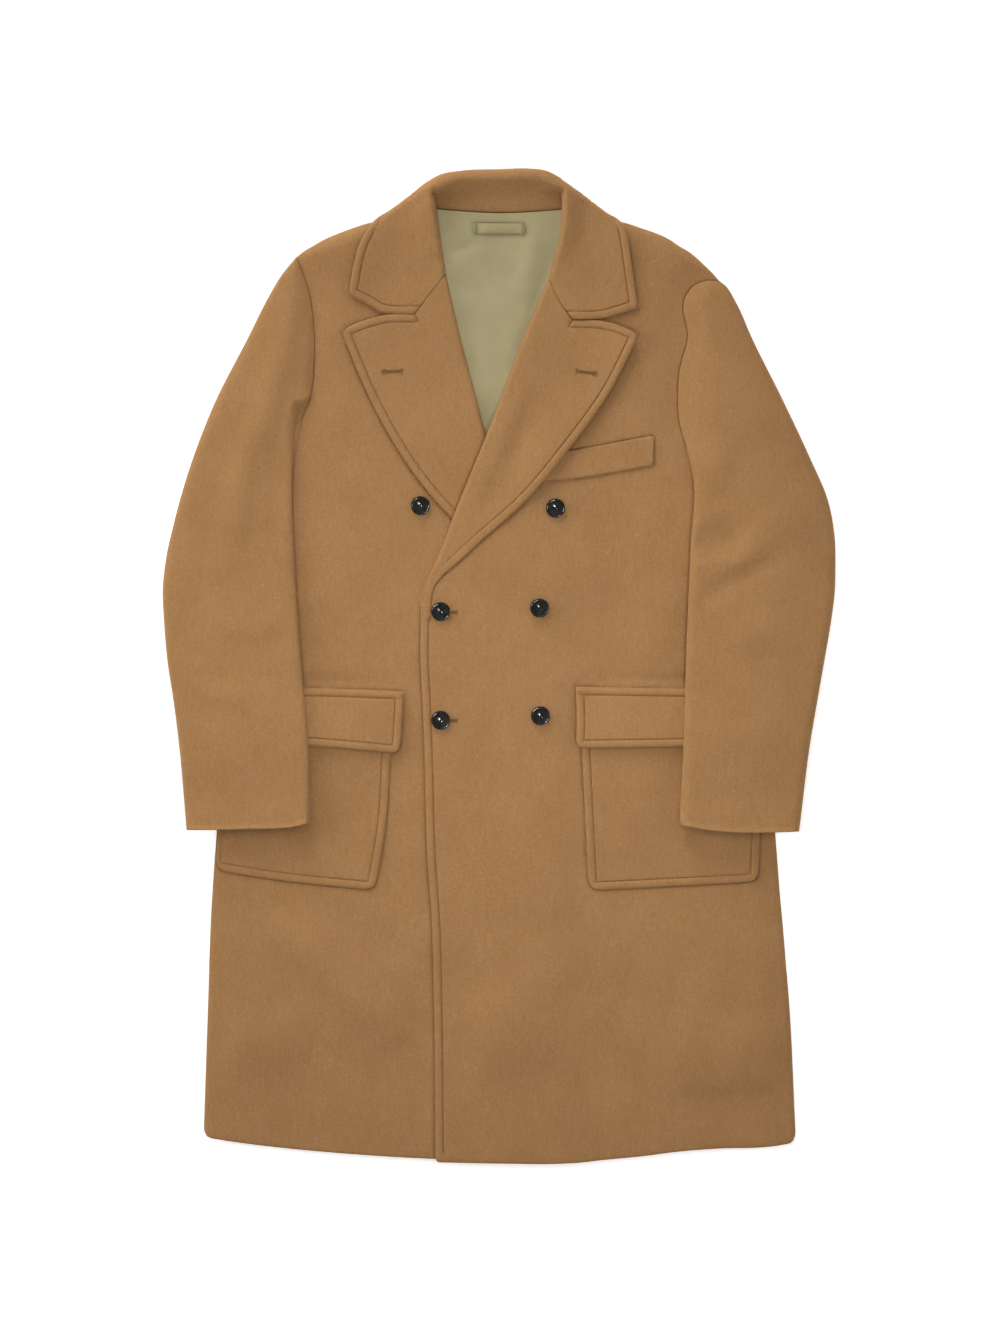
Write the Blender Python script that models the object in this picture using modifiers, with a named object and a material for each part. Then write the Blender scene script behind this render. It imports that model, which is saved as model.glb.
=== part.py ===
"""Double-breasted wool overcoat laid flat on its back, buttoned, with its sleeves down.

Tables are in millimetres. X runs across the coat (the wearer's left is +X), Y runs from the hem
up to the collar, and Z rises from the surface that the coat lies on. Meshes are in metres.
Every panel is cut flat from its outline, laid on the layers under it and given its thickness.
"""

import math
from collections import namedtuple

import bmesh
import bpy
import numpy as np
from mathutils import Vector
from mathutils.geometry import delaunay_2d_cdt

MM = 0.001

# Cloth walls and gaps
MELTON = 2.2           # body cloth, one layer
LINING = 1.0
DOUBLE = 3.4           # two layers sewn, turned and pressed: lapels, flaps and welt
COLLAR = 2.6           # collar leaf, pressed thinner than the lapels
SEAM = 0.3             # air between pieces that are sewn or lie on each other

# Edge finish: a raised band along the edge with a stitched groove inside it
BAND = 9.0             # from edge to groove
GROOVE_WIDTH = 2.5     # from groove to flat cloth on each side
GROOVE_DEPTH = 0.9
EDGE_DROP = 0.8        # rounding of a turned edge

# Air inside the coat
BODY_LOFT = 2.6
SLEEVE_LOFT = 3.2
CLOSING = 40.0         # width over which the air closes towards a seam or fold
BODY_DROOP = 0.08      # slope at which the stiff cloth falls away beyond a layer that it lies on
SLEEVE_DROOP = 0.30
BUTTON_DROOP = 1.0     # a button follows only the cloth right under its foot

# Buttons, turned with a raised rim
BUTTON_RADIUS = 10.8
BUTTON_HEIGHT = 4.4
BUTTON_DISH = 1.5      # depth of the dish inside the rim
BUTTON_RIM = 2.6
BUTTON_FOOT = 5.0      # radius that rests on the cloth
BUTTON_SIDES = 20

# Collar, folded under at the crease behind the neck
COLLAR_SPACING = 26.0
COLLAR_REACH = 36.0    # how far past a layer the collar stays level
CREASE_AIR = 2.0       # least air between the leaf and the fall
CREASE_BACK = 12.0     # where the pile's height is taken, inside the crease
CREASE_POINTS = 26
BENDS = (-6.0, -1.0, 4.0, 9.0, 14.0)    # lines across the fold, from the crease

# Working sizes
OUTLINE_STEP = 30.0    # spacing of points along an outline
CURVE_STEP = 3.0       # spacing of points when a curve is first drawn
TURN_POINTS = 4        # points on a rounded corner
CELL = 5.0             # raster cell of the height map
HALF_WIDTH = 480.0     # reach of the height map
HALF_LENGTH = 660.0
EDGE_SHARE = 0.25      # how far past a triangle its plane counts, as a share of its height
HOLD = 1.2             # how far past a layer the cloth stays level, in lattice spacings

CAMEL = "#a27b50"
SAGE = "#a39c72"
HORN = "#1d1a19"

Mark = namedtuple("Mark", "x y")
Edge = namedtuple("Edge", "name turn")
Panel = namedtuple("Panel", "name outline wall spacing droop lies_on loft closed stitched colour")
Fold = namedtuple("Fold", "panel x0 y0 x1 y1 half_width height")
Button = namedtuple("Button", "name x y lies_on")


def marks(*rows):
    """Rows of an edge table, each with its x and y."""
    return [Mark(*row) for row in rows]


# Edges that the panels are cut along, each a smooth line through its marks
EDGES = {
    "hem_right": marks((-335, -529), (-317, -537), (-249, -547), (-158, -554), (-73, -559), (58, -561)),
    "hem_left": marks((-72, -564), (69, -565), (115, -561), (228, -550), (325, -543), (336, -534)),
    "hem_back": marks((-333, -523), (-249, -541), (0, -551), (228, -543), (334, -528)),
    "side_right": marks((-279, 260), (-301, 29), (-321, -198), (-329, -346), (-335, -529)),
    "side_left": marks((280, 260), (296, 29), (314, -198), (327, -346), (336, -534)),
    "side_back_right": marks((-279, 260), (-301, 29), (-321, -198), (-329, -346), (-333, -523)),
    "side_back_left": marks((280, 260), (296, 29), (314, -198), (327, -346), (334, -528)),
    "armhole_right": marks((-229, 464), (-213, 420), (-210, 380), (-210, 340), (-213, 310), (-224, 280)),
    "armhole_left": marks((228, 460), (210, 418), (207, 395), (208, 356), (203, 313), (207, 279), (212, 256)),
    "underarm_right": marks((-224, 280), (-243, 264), (-279, 260)),
    "underarm_left": marks((212, 256), (239, 248), (280, 260)),
    "armhole_back_right": marks((-229, 464), (-226, 420), (-226, 350), (-240, 285), (-279, 260)),
    "armhole_back_left": marks((228, 460), (224, 420), (222, 350), (232, 285), (280, 260)),
    "shoulder_right": marks((-95, 519), (-130, 501), (-150, 497), (-184, 490), (-211, 476), (-229, 464)),
    "shoulder_left": marks((93, 519), (128, 501), (150, 497), (180, 490), (204, 476), (228, 460)),
    "neck_back": marks((-95, 519), (-73, 517), (2, 512), (70, 516), (93, 519)),
    "neck_right": marks((-70, 446), (-78, 480), (-84, 506), (-95, 519)),
    "neck_left": marks((64, 440), (70, 465), (78, 500), (93, 519)),
    "roll_right": marks((-60, 443), (-46, 382), (-25, 301), (-15, 263), (24, 176), (56, 97)),
    "roll_left": marks((56, 438), (29, 375), (-14, 262), (-49, 176), (-73, 114), (-88, 80)),
    "break_right": marks((50, 100), (16, 176), (-22, 263), (-44, 346), (-70, 446)),
    "break_left": marks((64, 440), (37, 375), (-6, 262), (-41, 176), (-65, 114), (-88, 66)),
    "front_right": marks((58, -561), (58, -240), (50, 100)),
    "front_left": marks((-88, 66), (-89, 5), (-84, -105), (-81, -221), (-74, -383), (-72, -564)),
    "lapel_right": marks((56, 97), (1, 125), (-53, 167), (-87, 205), (-128, 267), (-149, 308), (-181, 379)),
    "lapel_left": marks((-88, 80), (-67, 100), (-25, 137), (30, 186), (81, 247), (126, 310), (162, 373)),
    "lapel_top_right": marks((-181, 379), (-146, 395), (-128, 399), (-96, 399)),
    "lapel_top_left": marks((162, 373), (138, 383), (116, 391), (84, 392)),
    "gorge_right": marks((-96, 399), (-85, 412), (-60, 443)),
    "gorge_left": marks((84, 392), (73, 406), (56, 438)),
    "collar_gorge_right": marks((-97, 402), (-86, 415), (-60, 446)),
    "collar_gorge_left": marks((57, 441), (73, 409), (85, 395)),
    "collar_end_right": marks((-171, 420), (-151, 411), (-132, 403), (-97, 402)),
    "collar_end_left": marks((85, 395), (119, 396), (137, 400), (159, 405)),
    "collar_edge": marks((159, 405), (152, 444), (141, 505), (121, 548), (98, 588), (75, 616), (52, 629),
                         (0, 632), (-58, 625), (-92, 602), (-121, 562), (-145, 505), (-158, 477), (-171, 420)),
    "collar_roll_right": marks((-60, 446), (-65, 475), (-70, 506), (-76, 535)),
    "collar_roll_left": marks((73, 537), (72, 516), (69, 490), (57, 441)),
    "collar_seam": marks((-76, 535), (0, 535), (73, 537)),
    "silhouette": marks((-160, 491), (-145, 503), (-108, 531), (-78, 551), (-52, 561), (0, 564.5), (44, 564.5),
                        (62, 558), (84, 544), (111, 524), (141, 503), (156, 492)),
    "stand_top": marks((82, 534.5), (0, 534), (-86, 534)),
    "stand_foot": marks((-86, 519.5), (-73, 518), (2, 513), (70, 517), (82, 518.5)),
    "lining_neck": marks((-88, 518), (-73, 516), (2, 511), (70, 515), (86, 517)),
    "lining_right": marks((-88, 518), (-96, 450), (-72, 350), (-40, 246)),
    "lining_left": marks((10, 246), (46, 350), (82, 440), (86, 517)),
    "lining_foot": marks((-40, 246), (10, 246)),
    "loop_top": marks((29, 501), (-29, 501)),
    "loop_foot": marks((-29, 489), (29, 489)),
    "loop_right": marks((-29, 501), (-29, 489)),
    "loop_left": marks((29, 489), (29, 501)),
    "sleeve_inner_right": marks((-224, 280), (-234, 225), (-232, 120), (-224, 2), (-216, -89), (-214, -178)),
    "sleeve_inner_left": marks((212, 256), (220, 215), (217, 132), (213, 41), (208, -102), (204, -180)),
    "cuff_right": marks((-214, -178), (-284, -184), (-352, -186)),
    "cuff_left": marks((204, -180), (235, -186), (274, -189), (339, -188)),
    "sleeve_outer_right": marks((-352, -186), (-369, -39), (-381, 86), (-362, 188), (-311, 324), (-255, 428),
                                (-229, 464)),
    "sleeve_outer_left": marks((339, -188), (361, -39), (380, 74), (381, 137), (354, 233), (278, 392),
                               (228, 460)),
    "patch_mouth_right": marks((-122, -60), (-312, -58)),
    "patch_front_right": marks((-141, -255), (-130, -193), (-122, -60)),
    "patch_foot_right": marks((-321, -232), (-260, -242), (-141, -255)),
    "patch_side_right": marks((-312, -58), (-321, -232)),
    "patch_mouth_left": marks((300, -60), (92, -60)),
    "patch_front_left": marks((92, -60), (97, -157), (102, -255)),
    "patch_foot_left": marks((102, -255), (185, -251), (294, -245)),
    "patch_side_left": marks((294, -245), (300, -60)),
    "flap_top_right": marks((-108, -29), (-188, -26), (-308, -25)),
    "flap_front_right": marks((-113, -100), (-111, -81), (-108, -29)),
    "flap_foot_right": marks((-314, -88), (-216, -91), (-113, -100)),
    "flap_side_right": marks((-308, -25), (-314, -88)),
    "flap_top_left": marks((298, -27), (211, -26), (87, -24)),
    "flap_front_left": marks((87, -24), (88, -66), (87, -94)),
    "flap_foot_left": marks((87, -94), (210, -92), (302, -90)),
    "flap_side_left": marks((302, -90), (298, -27)),
    "welt_top": marks((176, 261), (134, 253), (81, 244), (50, 241)),
    "welt_side": marks((175, 227), (176, 261)),
    "welt_foot": marks((40, 210), (100, 214), (130, 219), (175, 227)),
    "welt_lapel": marks((50, 241), (40, 210)),
}

# Ground that the collar's fall takes up under the back
FALL = marks((-146, 502), (-115, 498), (0, 487), (112, 498), (142, 502), (84, 544), (44, 564), (-52, 560))

# Panels from the bottom of the pile up: outline edges with the length of the turn at their end
PANELS = [
    Panel("back", [Edge("hem_back", 0), Edge("-side_back_left", 0), Edge("-armhole_back_left", 0),
                   Edge("-shoulder_left", 0), Edge("-neck_back", 0), Edge("shoulder_right", 0),
                   Edge("armhole_back_right", 0), Edge("side_back_right", 0)],
          MELTON, 64, BODY_DROOP, ["fall"], 0, [], [], CAMEL),
    Panel("collar_stand", [Edge("stand_foot", 0), Edge("stand_top", 0)],
          MELTON, 30, BODY_DROOP, ["fall"], 0, [], [], CAMEL),
    Panel("back_lining", [Edge("lining_foot", 0), Edge("lining_left", 0), Edge("-lining_neck", 0),
                          Edge("lining_right", 0)],
          LINING, 40, BODY_DROOP, ["back"], 0, [], [], SAGE),
    Panel("hanger_loop", [Edge("loop_foot", 0), Edge("loop_left", 0), Edge("loop_top", 0),
                          Edge("loop_right", 0)],
          LINING, 14, BODY_DROOP, ["back_lining"], 1.2, ["loop_right", "loop_left"], [], SAGE),
    Panel("front_right", [Edge("hem_right", 0), Edge("front_right", 0), Edge("break_right", 0),
                          Edge("neck_right", 0), Edge("shoulder_right", 0), Edge("armhole_right", 0),
                          Edge("underarm_right", 0), Edge("side_right", 4)],
          MELTON, 38, BODY_DROOP, ["back", "back_lining"], BODY_LOFT,
          ["side_right", "armhole_right", "underarm_right", "shoulder_right", "break_right", "front_right"],
          [], CAMEL),
    Panel("lapel_right", [Edge("-gorge_right", 0), Edge("-lapel_top_right", 10), Edge("-lapel_right", 0),
                          Edge("-roll_right", 0)],
          DOUBLE, 30, BODY_DROOP, ["front_right", "back_lining"], 0, [],
          ["lapel_right", "lapel_top_right"], CAMEL),
    Panel("front_left", [Edge("hem_left", 4), Edge("-side_left", 0), Edge("-underarm_left", 0),
                         Edge("-armhole_left", 0), Edge("-shoulder_left", 0), Edge("-neck_left", 0),
                         Edge("break_left", 0), Edge("front_left", 8)],
          MELTON, 38, BODY_DROOP, ["back", "back_lining", "front_right", "lapel_right"], BODY_LOFT,
          ["side_left", "armhole_left", "underarm_left", "shoulder_left", "break_left", "front_left"],
          ["front_left"], CAMEL),
    Panel("chest_welt", [Edge("welt_foot", 0), Edge("welt_side", 0), Edge("welt_top", 0),
                         Edge("welt_lapel", 0)],
          DOUBLE, 30, BODY_DROOP, ["front_left"], 0, [], [], CAMEL),
    Panel("lapel_left", [Edge("lapel_left", 10), Edge("lapel_top_left", 0), Edge("gorge_left", 0),
                         Edge("roll_left", 0)],
          DOUBLE, 30, BODY_DROOP, ["front_left", "chest_welt", "front_right", "lapel_right", "back_lining"],
          0, [], ["lapel_left", "lapel_top_left"], CAMEL),
    Panel("pocket_right", [Edge("patch_foot_right", 16), Edge("patch_front_right", 0),
                           Edge("patch_mouth_right", 0), Edge("patch_side_right", 8)],
          MELTON, 40, BODY_DROOP, ["front_right"], 0, [], ["patch_foot_right", "patch_front_right"], CAMEL),
    Panel("pocket_left", [Edge("patch_foot_left", 16), Edge("patch_side_left", 0), Edge("patch_mouth_left", 0),
                          Edge("patch_front_left", 16)],
          MELTON, 40, BODY_DROOP, ["front_left"], 0, [],
          ["patch_foot_left", "patch_front_left", "patch_side_left"], CAMEL),
    Panel("flap_right", [Edge("flap_foot_right", 14), Edge("flap_front_right", 0), Edge("flap_top_right", 0),
                         Edge("flap_side_right", 8)],
          DOUBLE, 34, BODY_DROOP, ["front_right", "pocket_right"], 0, [],
          ["flap_foot_right", "flap_front_right", "flap_top_right"], CAMEL),
    Panel("flap_left", [Edge("flap_foot_left", 8), Edge("flap_side_left", 0), Edge("flap_top_left", 0),
                        Edge("flap_front_left", 14)],
          DOUBLE, 34, BODY_DROOP, ["front_left", "pocket_left"], 0, [],
          ["flap_foot_left", "flap_front_left", "flap_top_left"], CAMEL),
    Panel("sleeve_under_right", [Edge("cuff_right", 0), Edge("sleeve_outer_right", 0), Edge("armhole_right", 0),
                                 Edge("sleeve_inner_right", 0)],
          MELTON, 26, SLEEVE_DROOP, ["back", "front_right", "pocket_right", "flap_right"], 0, [], [], CAMEL),
    Panel("sleeve_under_left", [Edge("cuff_left", 0), Edge("sleeve_outer_left", 0), Edge("armhole_left", 0),
                                Edge("sleeve_inner_left", 0)],
          MELTON, 26, SLEEVE_DROOP, ["back", "front_left", "pocket_left", "flap_left"], 0, [], [], CAMEL),
    Panel("sleeve_top_right", [Edge("cuff_right", 0), Edge("sleeve_outer_right", 0), Edge("armhole_right", 0),
                               Edge("sleeve_inner_right", 0)],
          MELTON, 26, SLEEVE_DROOP, ["sleeve_under_right", "front_right"], SLEEVE_LOFT,
          ["sleeve_outer_right", "armhole_right", "sleeve_inner_right"], [], CAMEL),
    Panel("sleeve_top_left", [Edge("cuff_left", 0), Edge("sleeve_outer_left", 0), Edge("armhole_left", 0),
                              Edge("sleeve_inner_left", 0)],
          MELTON, 26, SLEEVE_DROOP, ["sleeve_under_left", "front_left"], SLEEVE_LOFT,
          ["sleeve_outer_left", "armhole_left", "sleeve_inner_left"], [], CAMEL),
]

# Soft folds pressed into the cloth, as straight ridges that fade out all round
FOLDS = [
    Fold("sleeve_top_right", -258, 400, -300, 190, 40, 2.4),
    Fold("sleeve_top_right", -330, 120, -300, -60, 34, 1.4),
    Fold("sleeve_top_left", 270, 330, 340, 170, 40, 2.2),
    Fold("sleeve_top_left", 235, 120, 330, 60, 30, 1.6),
    Fold("front_left", 170, -470, 330, -490, 34, 1.4),
    Fold("front_right", -130, -330, -110, -540, 40, 1.2),
]

BUTTONS = [
    Button("button_upper_right", -89, 181, ["front_right"]),
    Button("button_upper_left", 64, 178, ["front_left"]),
    Button("button_middle_right", -66, 61, ["front_left"]),
    Button("button_middle_left", 46, 65, ["front_left"]),
    Button("button_lower_right", -66, -62, ["front_left"]),
    Button("button_lower_left", 47, -57, ["front_left"]),
]


def drawn(name, step=CURVE_STEP):
    """Points along a smooth curve through an edge's marks; a leading minus runs it backwards."""
    knots = np.array(EDGES[name.lstrip("-")], float)
    if name.startswith("-"):
        knots = knots[::-1]
    chord = np.linalg.norm(np.diff(knots, axis=0), axis=1)
    at = np.concatenate([[0.0], np.cumsum(chord)])
    slope = np.tile((knots[-1] - knots[0]) / chord.sum(), (2, 1))
    if len(knots) > 2:
        slope = np.gradient(knots, at, axis=0)
    points = []
    for i, length in enumerate(chord):
        t = np.linspace(0.0, 1.0, max(2, round(length / step) + 1))[:-1, None]
        points.append((2 * t**3 - 3 * t**2 + 1) * knots[i] + (t**3 - 2 * t**2 + t) * length * slope[i]
                      + (3 * t**2 - 2 * t**3) * knots[i + 1] + (t**3 - t**2) * length * slope[i + 1])
    return np.vstack(points + [knots[-1:]])


def shifted(line, inset):
    """A line moved sideways to its left."""
    along = np.gradient(line, axis=0)
    along /= np.linalg.norm(along, axis=1, keepdims=True)
    return line + inset * np.stack([-along[:, 1], along[:, 0]], axis=1)


def run_on(line, length):
    """A line run on straight past both its ends."""
    head = line[0] + (line[0] - line[1]) / np.linalg.norm(line[0] - line[1]) * length
    tail = line[-1] + (line[-1] - line[-2]) / np.linalg.norm(line[-1] - line[-2]) * length
    return np.vstack([head, line, tail])


def crossing(first, second):
    """Lengths along two lines where the end of the first crosses the start of the second."""
    best = None
    lengths_1 = np.concatenate([[0.0], np.cumsum(np.linalg.norm(np.diff(first, axis=0), axis=1))])
    lengths_2 = np.concatenate([[0.0], np.cumsum(np.linalg.norm(np.diff(second, axis=0), axis=1))])
    reach = 14
    for i in range(max(0, len(first) - 1 - reach), len(first) - 1):
        for j in range(min(reach, len(second) - 1)):
            a, b = first[i], second[j]
            u, v = first[i + 1] - a, second[j + 1] - b
            cross = u[0] * v[1] - u[1] * v[0]
            if abs(cross) < 1e-9:
                continue
            w = b - a
            s = (w[0] * v[1] - w[1] * v[0]) / cross
            t = (w[0] * u[1] - w[1] * u[0]) / cross
            if 0 <= s <= 1 and 0 <= t <= 1:
                here = (lengths_1[i] + s * np.linalg.norm(u), lengths_2[j] + t * np.linalg.norm(v))
                left = lengths_1[-1] - here[0] + here[1]
                if best is None or left < best[0]:
                    best = (left, *here)
    return best[1:] if best else None


def stretch(line, start, end, count):
    """Evenly spaced points on a line between two lengths along it."""
    at = np.concatenate([[0.0], np.cumsum(np.linalg.norm(np.diff(line, axis=0), axis=1))])
    want = np.linspace(start, end, count)
    return np.stack([np.interp(want, at, line[:, 0]), np.interp(want, at, line[:, 1])], axis=1)


def inset_loop(outline, inset):
    """Closed loop that runs inside an outline at a distance, its corners turned as the outline says."""
    tail = 4 * inset + 1.0
    sides = [drawn(edge.name) for edge in outline]
    lines = [run_on(shifted(side, inset), tail) for side in sides]
    total = [np.linalg.norm(np.diff(line, axis=0), axis=1).sum() for line in lines]
    start = [tail] * len(lines)
    end = [length - tail for length in total]
    for i in range(len(lines)):
        j = (i + 1) % len(lines)
        met = crossing(lines[i], lines[j]) if inset else None
        if met:
            end[i], start[j] = met
    points = []
    for i, line in enumerate(lines):
        j = (i + 1) % len(lines)
        before = max(outline[i - 1].turn - inset, 0.0)
        after = max(outline[i].turn - inset, 0.0)
        count = max(2, round(np.linalg.norm(np.diff(sides[i], axis=0), axis=1).sum() / OUTLINE_STEP) + 1)
        run = stretch(line, start[i] + before, end[i] - after, count)
        points.extend(run if outline[i].turn else run[:-1])
        if outline[i].turn:
            corner = stretch(line, end[i], end[i], 1)[0]
            leave = stretch(lines[j], start[j] + after, start[j] + after, 1)[0]
            for t in np.linspace(0.0, 1.0, TURN_POINTS + 1)[1:-1]:
                points.append((1 - t)**2 * run[-1] + 2 * t * (1 - t) * corner + t**2 * leave)
    return np.array(points)


def distance(points, line):
    """Distance from each point to a line of many short pieces."""
    nearest = np.full(len(points), np.inf)
    for a, b in zip(line[:-1], line[1:]):
        along = b - a
        share = np.clip((points - a) @ along / max(along @ along, 1e-12), 0.0, 1.0)
        nearest = np.minimum(nearest, np.linalg.norm(points - a - share[:, None] * along, axis=1))
    return nearest


def inside(points, loop):
    """Whether each point lies inside a closed loop."""
    odd = np.zeros(len(points), bool)
    for a, b in zip(loop, np.roll(loop, -1, axis=0)):
        spans = (a[1] > points[:, 1]) != (b[1] > points[:, 1])
        with np.errstate(divide="ignore", invalid="ignore"):
            cut = a[0] + (points[:, 1] - a[1]) / (b[1] - a[1]) * (b[0] - a[0])
        odd ^= spans & (points[:, 0] < cut)
    return odd


def lattice(loop, spacing):
    """Points of a triangular lattice that lie well inside a loop."""
    low, high = loop.min(axis=0), loop.max(axis=0)
    rise = spacing * math.sqrt(3) / 2
    rows = np.arange(math.floor(low[1] / rise), math.ceil(high[1] / rise) + 1)
    cols = np.arange(math.floor(low[0] / spacing) - 1, math.ceil(high[0] / spacing) + 1)
    col, row = np.meshgrid(cols, rows)
    points = np.stack([(col + 0.5 * (row % 2)).ravel() * spacing, row.ravel() * rise], axis=1)
    points = points[inside(points, loop)]
    return points[distance(points, np.vstack([loop, loop[:1]])) > 0.45 * spacing] if len(points) else points


def cut_cloth(loops, spacing, lines=()):
    """Flat triangles that fill the first loop and keep the other loops and lines as edges."""
    points, pairs = [], []
    for chain, closed in [(loop, True) for loop in loops] + [(line, False) for line in lines]:
        first = len(points)
        points.extend(chain)
        pairs.extend((first + i, first + i + 1) for i in range(len(chain) - 1))
        if closed:
            pairs.append((len(points) - 1, first))
    points.extend(lattice(loops[-1], spacing))
    found = delaunay_2d_cdt([Vector(p) for p in points], pairs, [], 1, 1e-4)
    kept, faces = np.unique(np.array(found[2]), return_inverse=True)
    return np.array([tuple(p) for p in found[0]])[kept], faces.reshape(-1, 3)


def smooth(value):
    """Ease from 0 to 1 with no slope at either end."""
    value = np.clip(value, 0.0, 1.0)
    return value * value * (3 - 2 * value)


class Pile:
    """Heights of the cloth laid so far, on a raster of square cells."""

    def __init__(self):
        self.columns = np.arange(-HALF_WIDTH, HALF_WIDTH + CELL, CELL)
        self.rows = np.arange(-HALF_LENGTH, HALF_LENGTH + CELL, CELL)
        self.tops = {}

    def lay(self, name, points, heights, faces):
        """Keep the upper surface of a piece."""
        top = self.tops.setdefault(name, np.zeros((len(self.rows), len(self.columns))))
        for face in faces:
            corner, height = points[face], heights[face]
            base = np.array([corner[1] - corner[0], corner[2] - corner[0]]).T
            if abs(np.linalg.det(base)) < 1e-6:
                continue
            low = np.floor((corner.min(axis=0) - (self.columns[0], self.rows[0])) / CELL).astype(int)
            high = np.ceil((corner.max(axis=0) - (self.columns[0], self.rows[0])) / CELL).astype(int) + 1
            x, y = np.meshgrid(self.columns[low[0]:high[0]], self.rows[low[1]:high[1]])
            share = np.linalg.solve(base, np.stack([x.ravel() - corner[0, 0], y.ravel() - corner[0, 1]]))
            share = np.vstack([1 - share.sum(axis=0), share])
            level = np.where(share.min(axis=0) > -EDGE_SHARE, height @ share, 0.0).reshape(x.shape)
            level = np.minimum(level, height.max())
            window = top[low[1]:high[1], low[0]:high[0]]
            np.maximum(window, level, out=window)

    def rest(self, names, reach, droop):
        """Height that a stiff piece keeps on the named layers: level a reach past each, then sloping."""
        under = np.maximum.reduce([self.tops[name] for name in names])
        cells = math.ceil(reach / CELL)
        around = [(down, over) for down in range(-cells, cells + 1) for over in range(-cells, cells + 1)
                  if math.hypot(down, over) <= cells]
        held = np.maximum.reduce([np.roll(under, shift, axis=(0, 1)) for shift in around])
        near = [(down, over) for down in (-1, 0, 1) for over in (-1, 0, 1)]
        for _ in range(math.ceil(held.max() / (droop * CELL))):
            held = np.maximum.reduce([np.roll(held, shift, axis=(0, 1)) - droop * CELL * math.hypot(*shift)
                                      for shift in near])
        return held

    def at(self, field, points):
        """Values of a field in the cells nearest to some points."""
        column = np.clip(np.rint((points[:, 0] - self.columns[0]) / CELL).astype(int), 0, len(self.columns) - 1)
        row = np.clip(np.rint((points[:, 1] - self.rows[0]) / CELL).astype(int), 0, len(self.rows) - 1)
        return field[row, column]


def stitched_relief(points, names):
    """Height to take off the cloth near stitched edges: a rounded edge and a groove inside the band."""
    if not names:
        return np.zeros(len(points))
    away = np.minimum.reduce([distance(points, drawn(name)) for name in names])
    groove = GROOVE_DEPTH * (1 - smooth(np.abs(away - BAND) / GROOVE_WIDTH))
    return groove + EDGE_DROP * (1 - smooth(away / (0.5 * BAND)))


def folds_on(name, points):
    """Height of the soft folds of a panel."""
    height = np.zeros(len(points))
    for fold in FOLDS:
        if fold.panel == name:
            ends = np.array([(fold.x0, fold.y0), (fold.x1, fold.y1)], float)
            height += fold.height * (1 - smooth(distance(points, ends) / fold.half_width))
    return height


def painted(item, colour, roughness):
    """Give an object its own plain material."""
    material = bpy.data.materials.new(item.name)
    material.use_nodes = True
    shader = material.node_tree.nodes["Principled BSDF"]
    srgb = [int(colour[i:i + 2], 16) / 255 for i in (1, 3, 5)]
    linear = [c / 12.92 if c <= 0.04045 else ((c + 0.055) / 1.055)**2.4 for c in srgb]
    shader.inputs["Base Color"].default_value = (*linear, 1.0)
    shader.inputs["Roughness"].default_value = roughness
    shader.inputs["Metallic"].default_value = 0.0
    item.data.materials.append(material)


def new_object(name, mesh, collection):
    """Put a mesh into the scene under a name."""
    item = bpy.data.objects.new(name, mesh)
    collection.objects.link(item)
    return item


def walled(name, inner, outer, faces, collection):
    """Closed cloth between an inner and an outer place for each of its points."""
    sheet = bmesh.new()
    number = sheet.verts.layers.int.new("number")
    corners = [sheet.verts.new(place) for place in inner]
    for i, corner in enumerate(corners):
        corner[number] = i
    for face in faces:
        sheet.faces.new([corners[i] for i in face])
    lifted = bmesh.ops.extrude_face_region(sheet, geom=sheet.faces[:])["geom"]
    for corner in lifted:
        if isinstance(corner, bmesh.types.BMVert):
            corner.co = outer[corner[number]]
    bmesh.ops.scale(sheet, vec=(MM, MM, MM), verts=sheet.verts)
    bmesh.ops.recalc_face_normals(sheet, faces=sheet.faces)
    mesh = bpy.data.meshes.new(name)
    sheet.to_mesh(mesh)
    sheet.free()
    return new_object(name, mesh, collection)


def lay_panel(panel, pile, collection):
    """Cut one panel, lay it on the pile and give it its wall."""
    insets = [0.0, 0.5 * BAND, BAND, BAND + GROOVE_WIDTH] if panel.stitched else [0.0]
    loops = [inset_loop(panel.outline, inset) for inset in insets]
    points, faces = cut_cloth(loops, panel.spacing)
    reach = HOLD * panel.spacing
    low = pile.at(pile.rest(panel.lies_on, reach, panel.droop), points)
    low = np.where(low > SEAM, low + SEAM, 0.0)
    if panel.closed:
        away = np.minimum.reduce([distance(points, drawn(name)) for name in panel.closed])
        air = (panel.loft + folds_on(panel.name, points)) * smooth(away / CLOSING)
        base = pile.at(pile.rest(panel.lies_on[:1], reach, panel.droop), points) + SEAM
        low = np.maximum(low, base + air)
    high = low + panel.wall - stitched_relief(points, panel.stitched)
    inner = np.column_stack([points, low])
    outer = np.column_stack([points, high])
    item = walled(panel.name, inner, outer, faces, collection)
    painted(item, panel.colour, 0.9)
    pile.lay(panel.name, points, high, faces)


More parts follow.
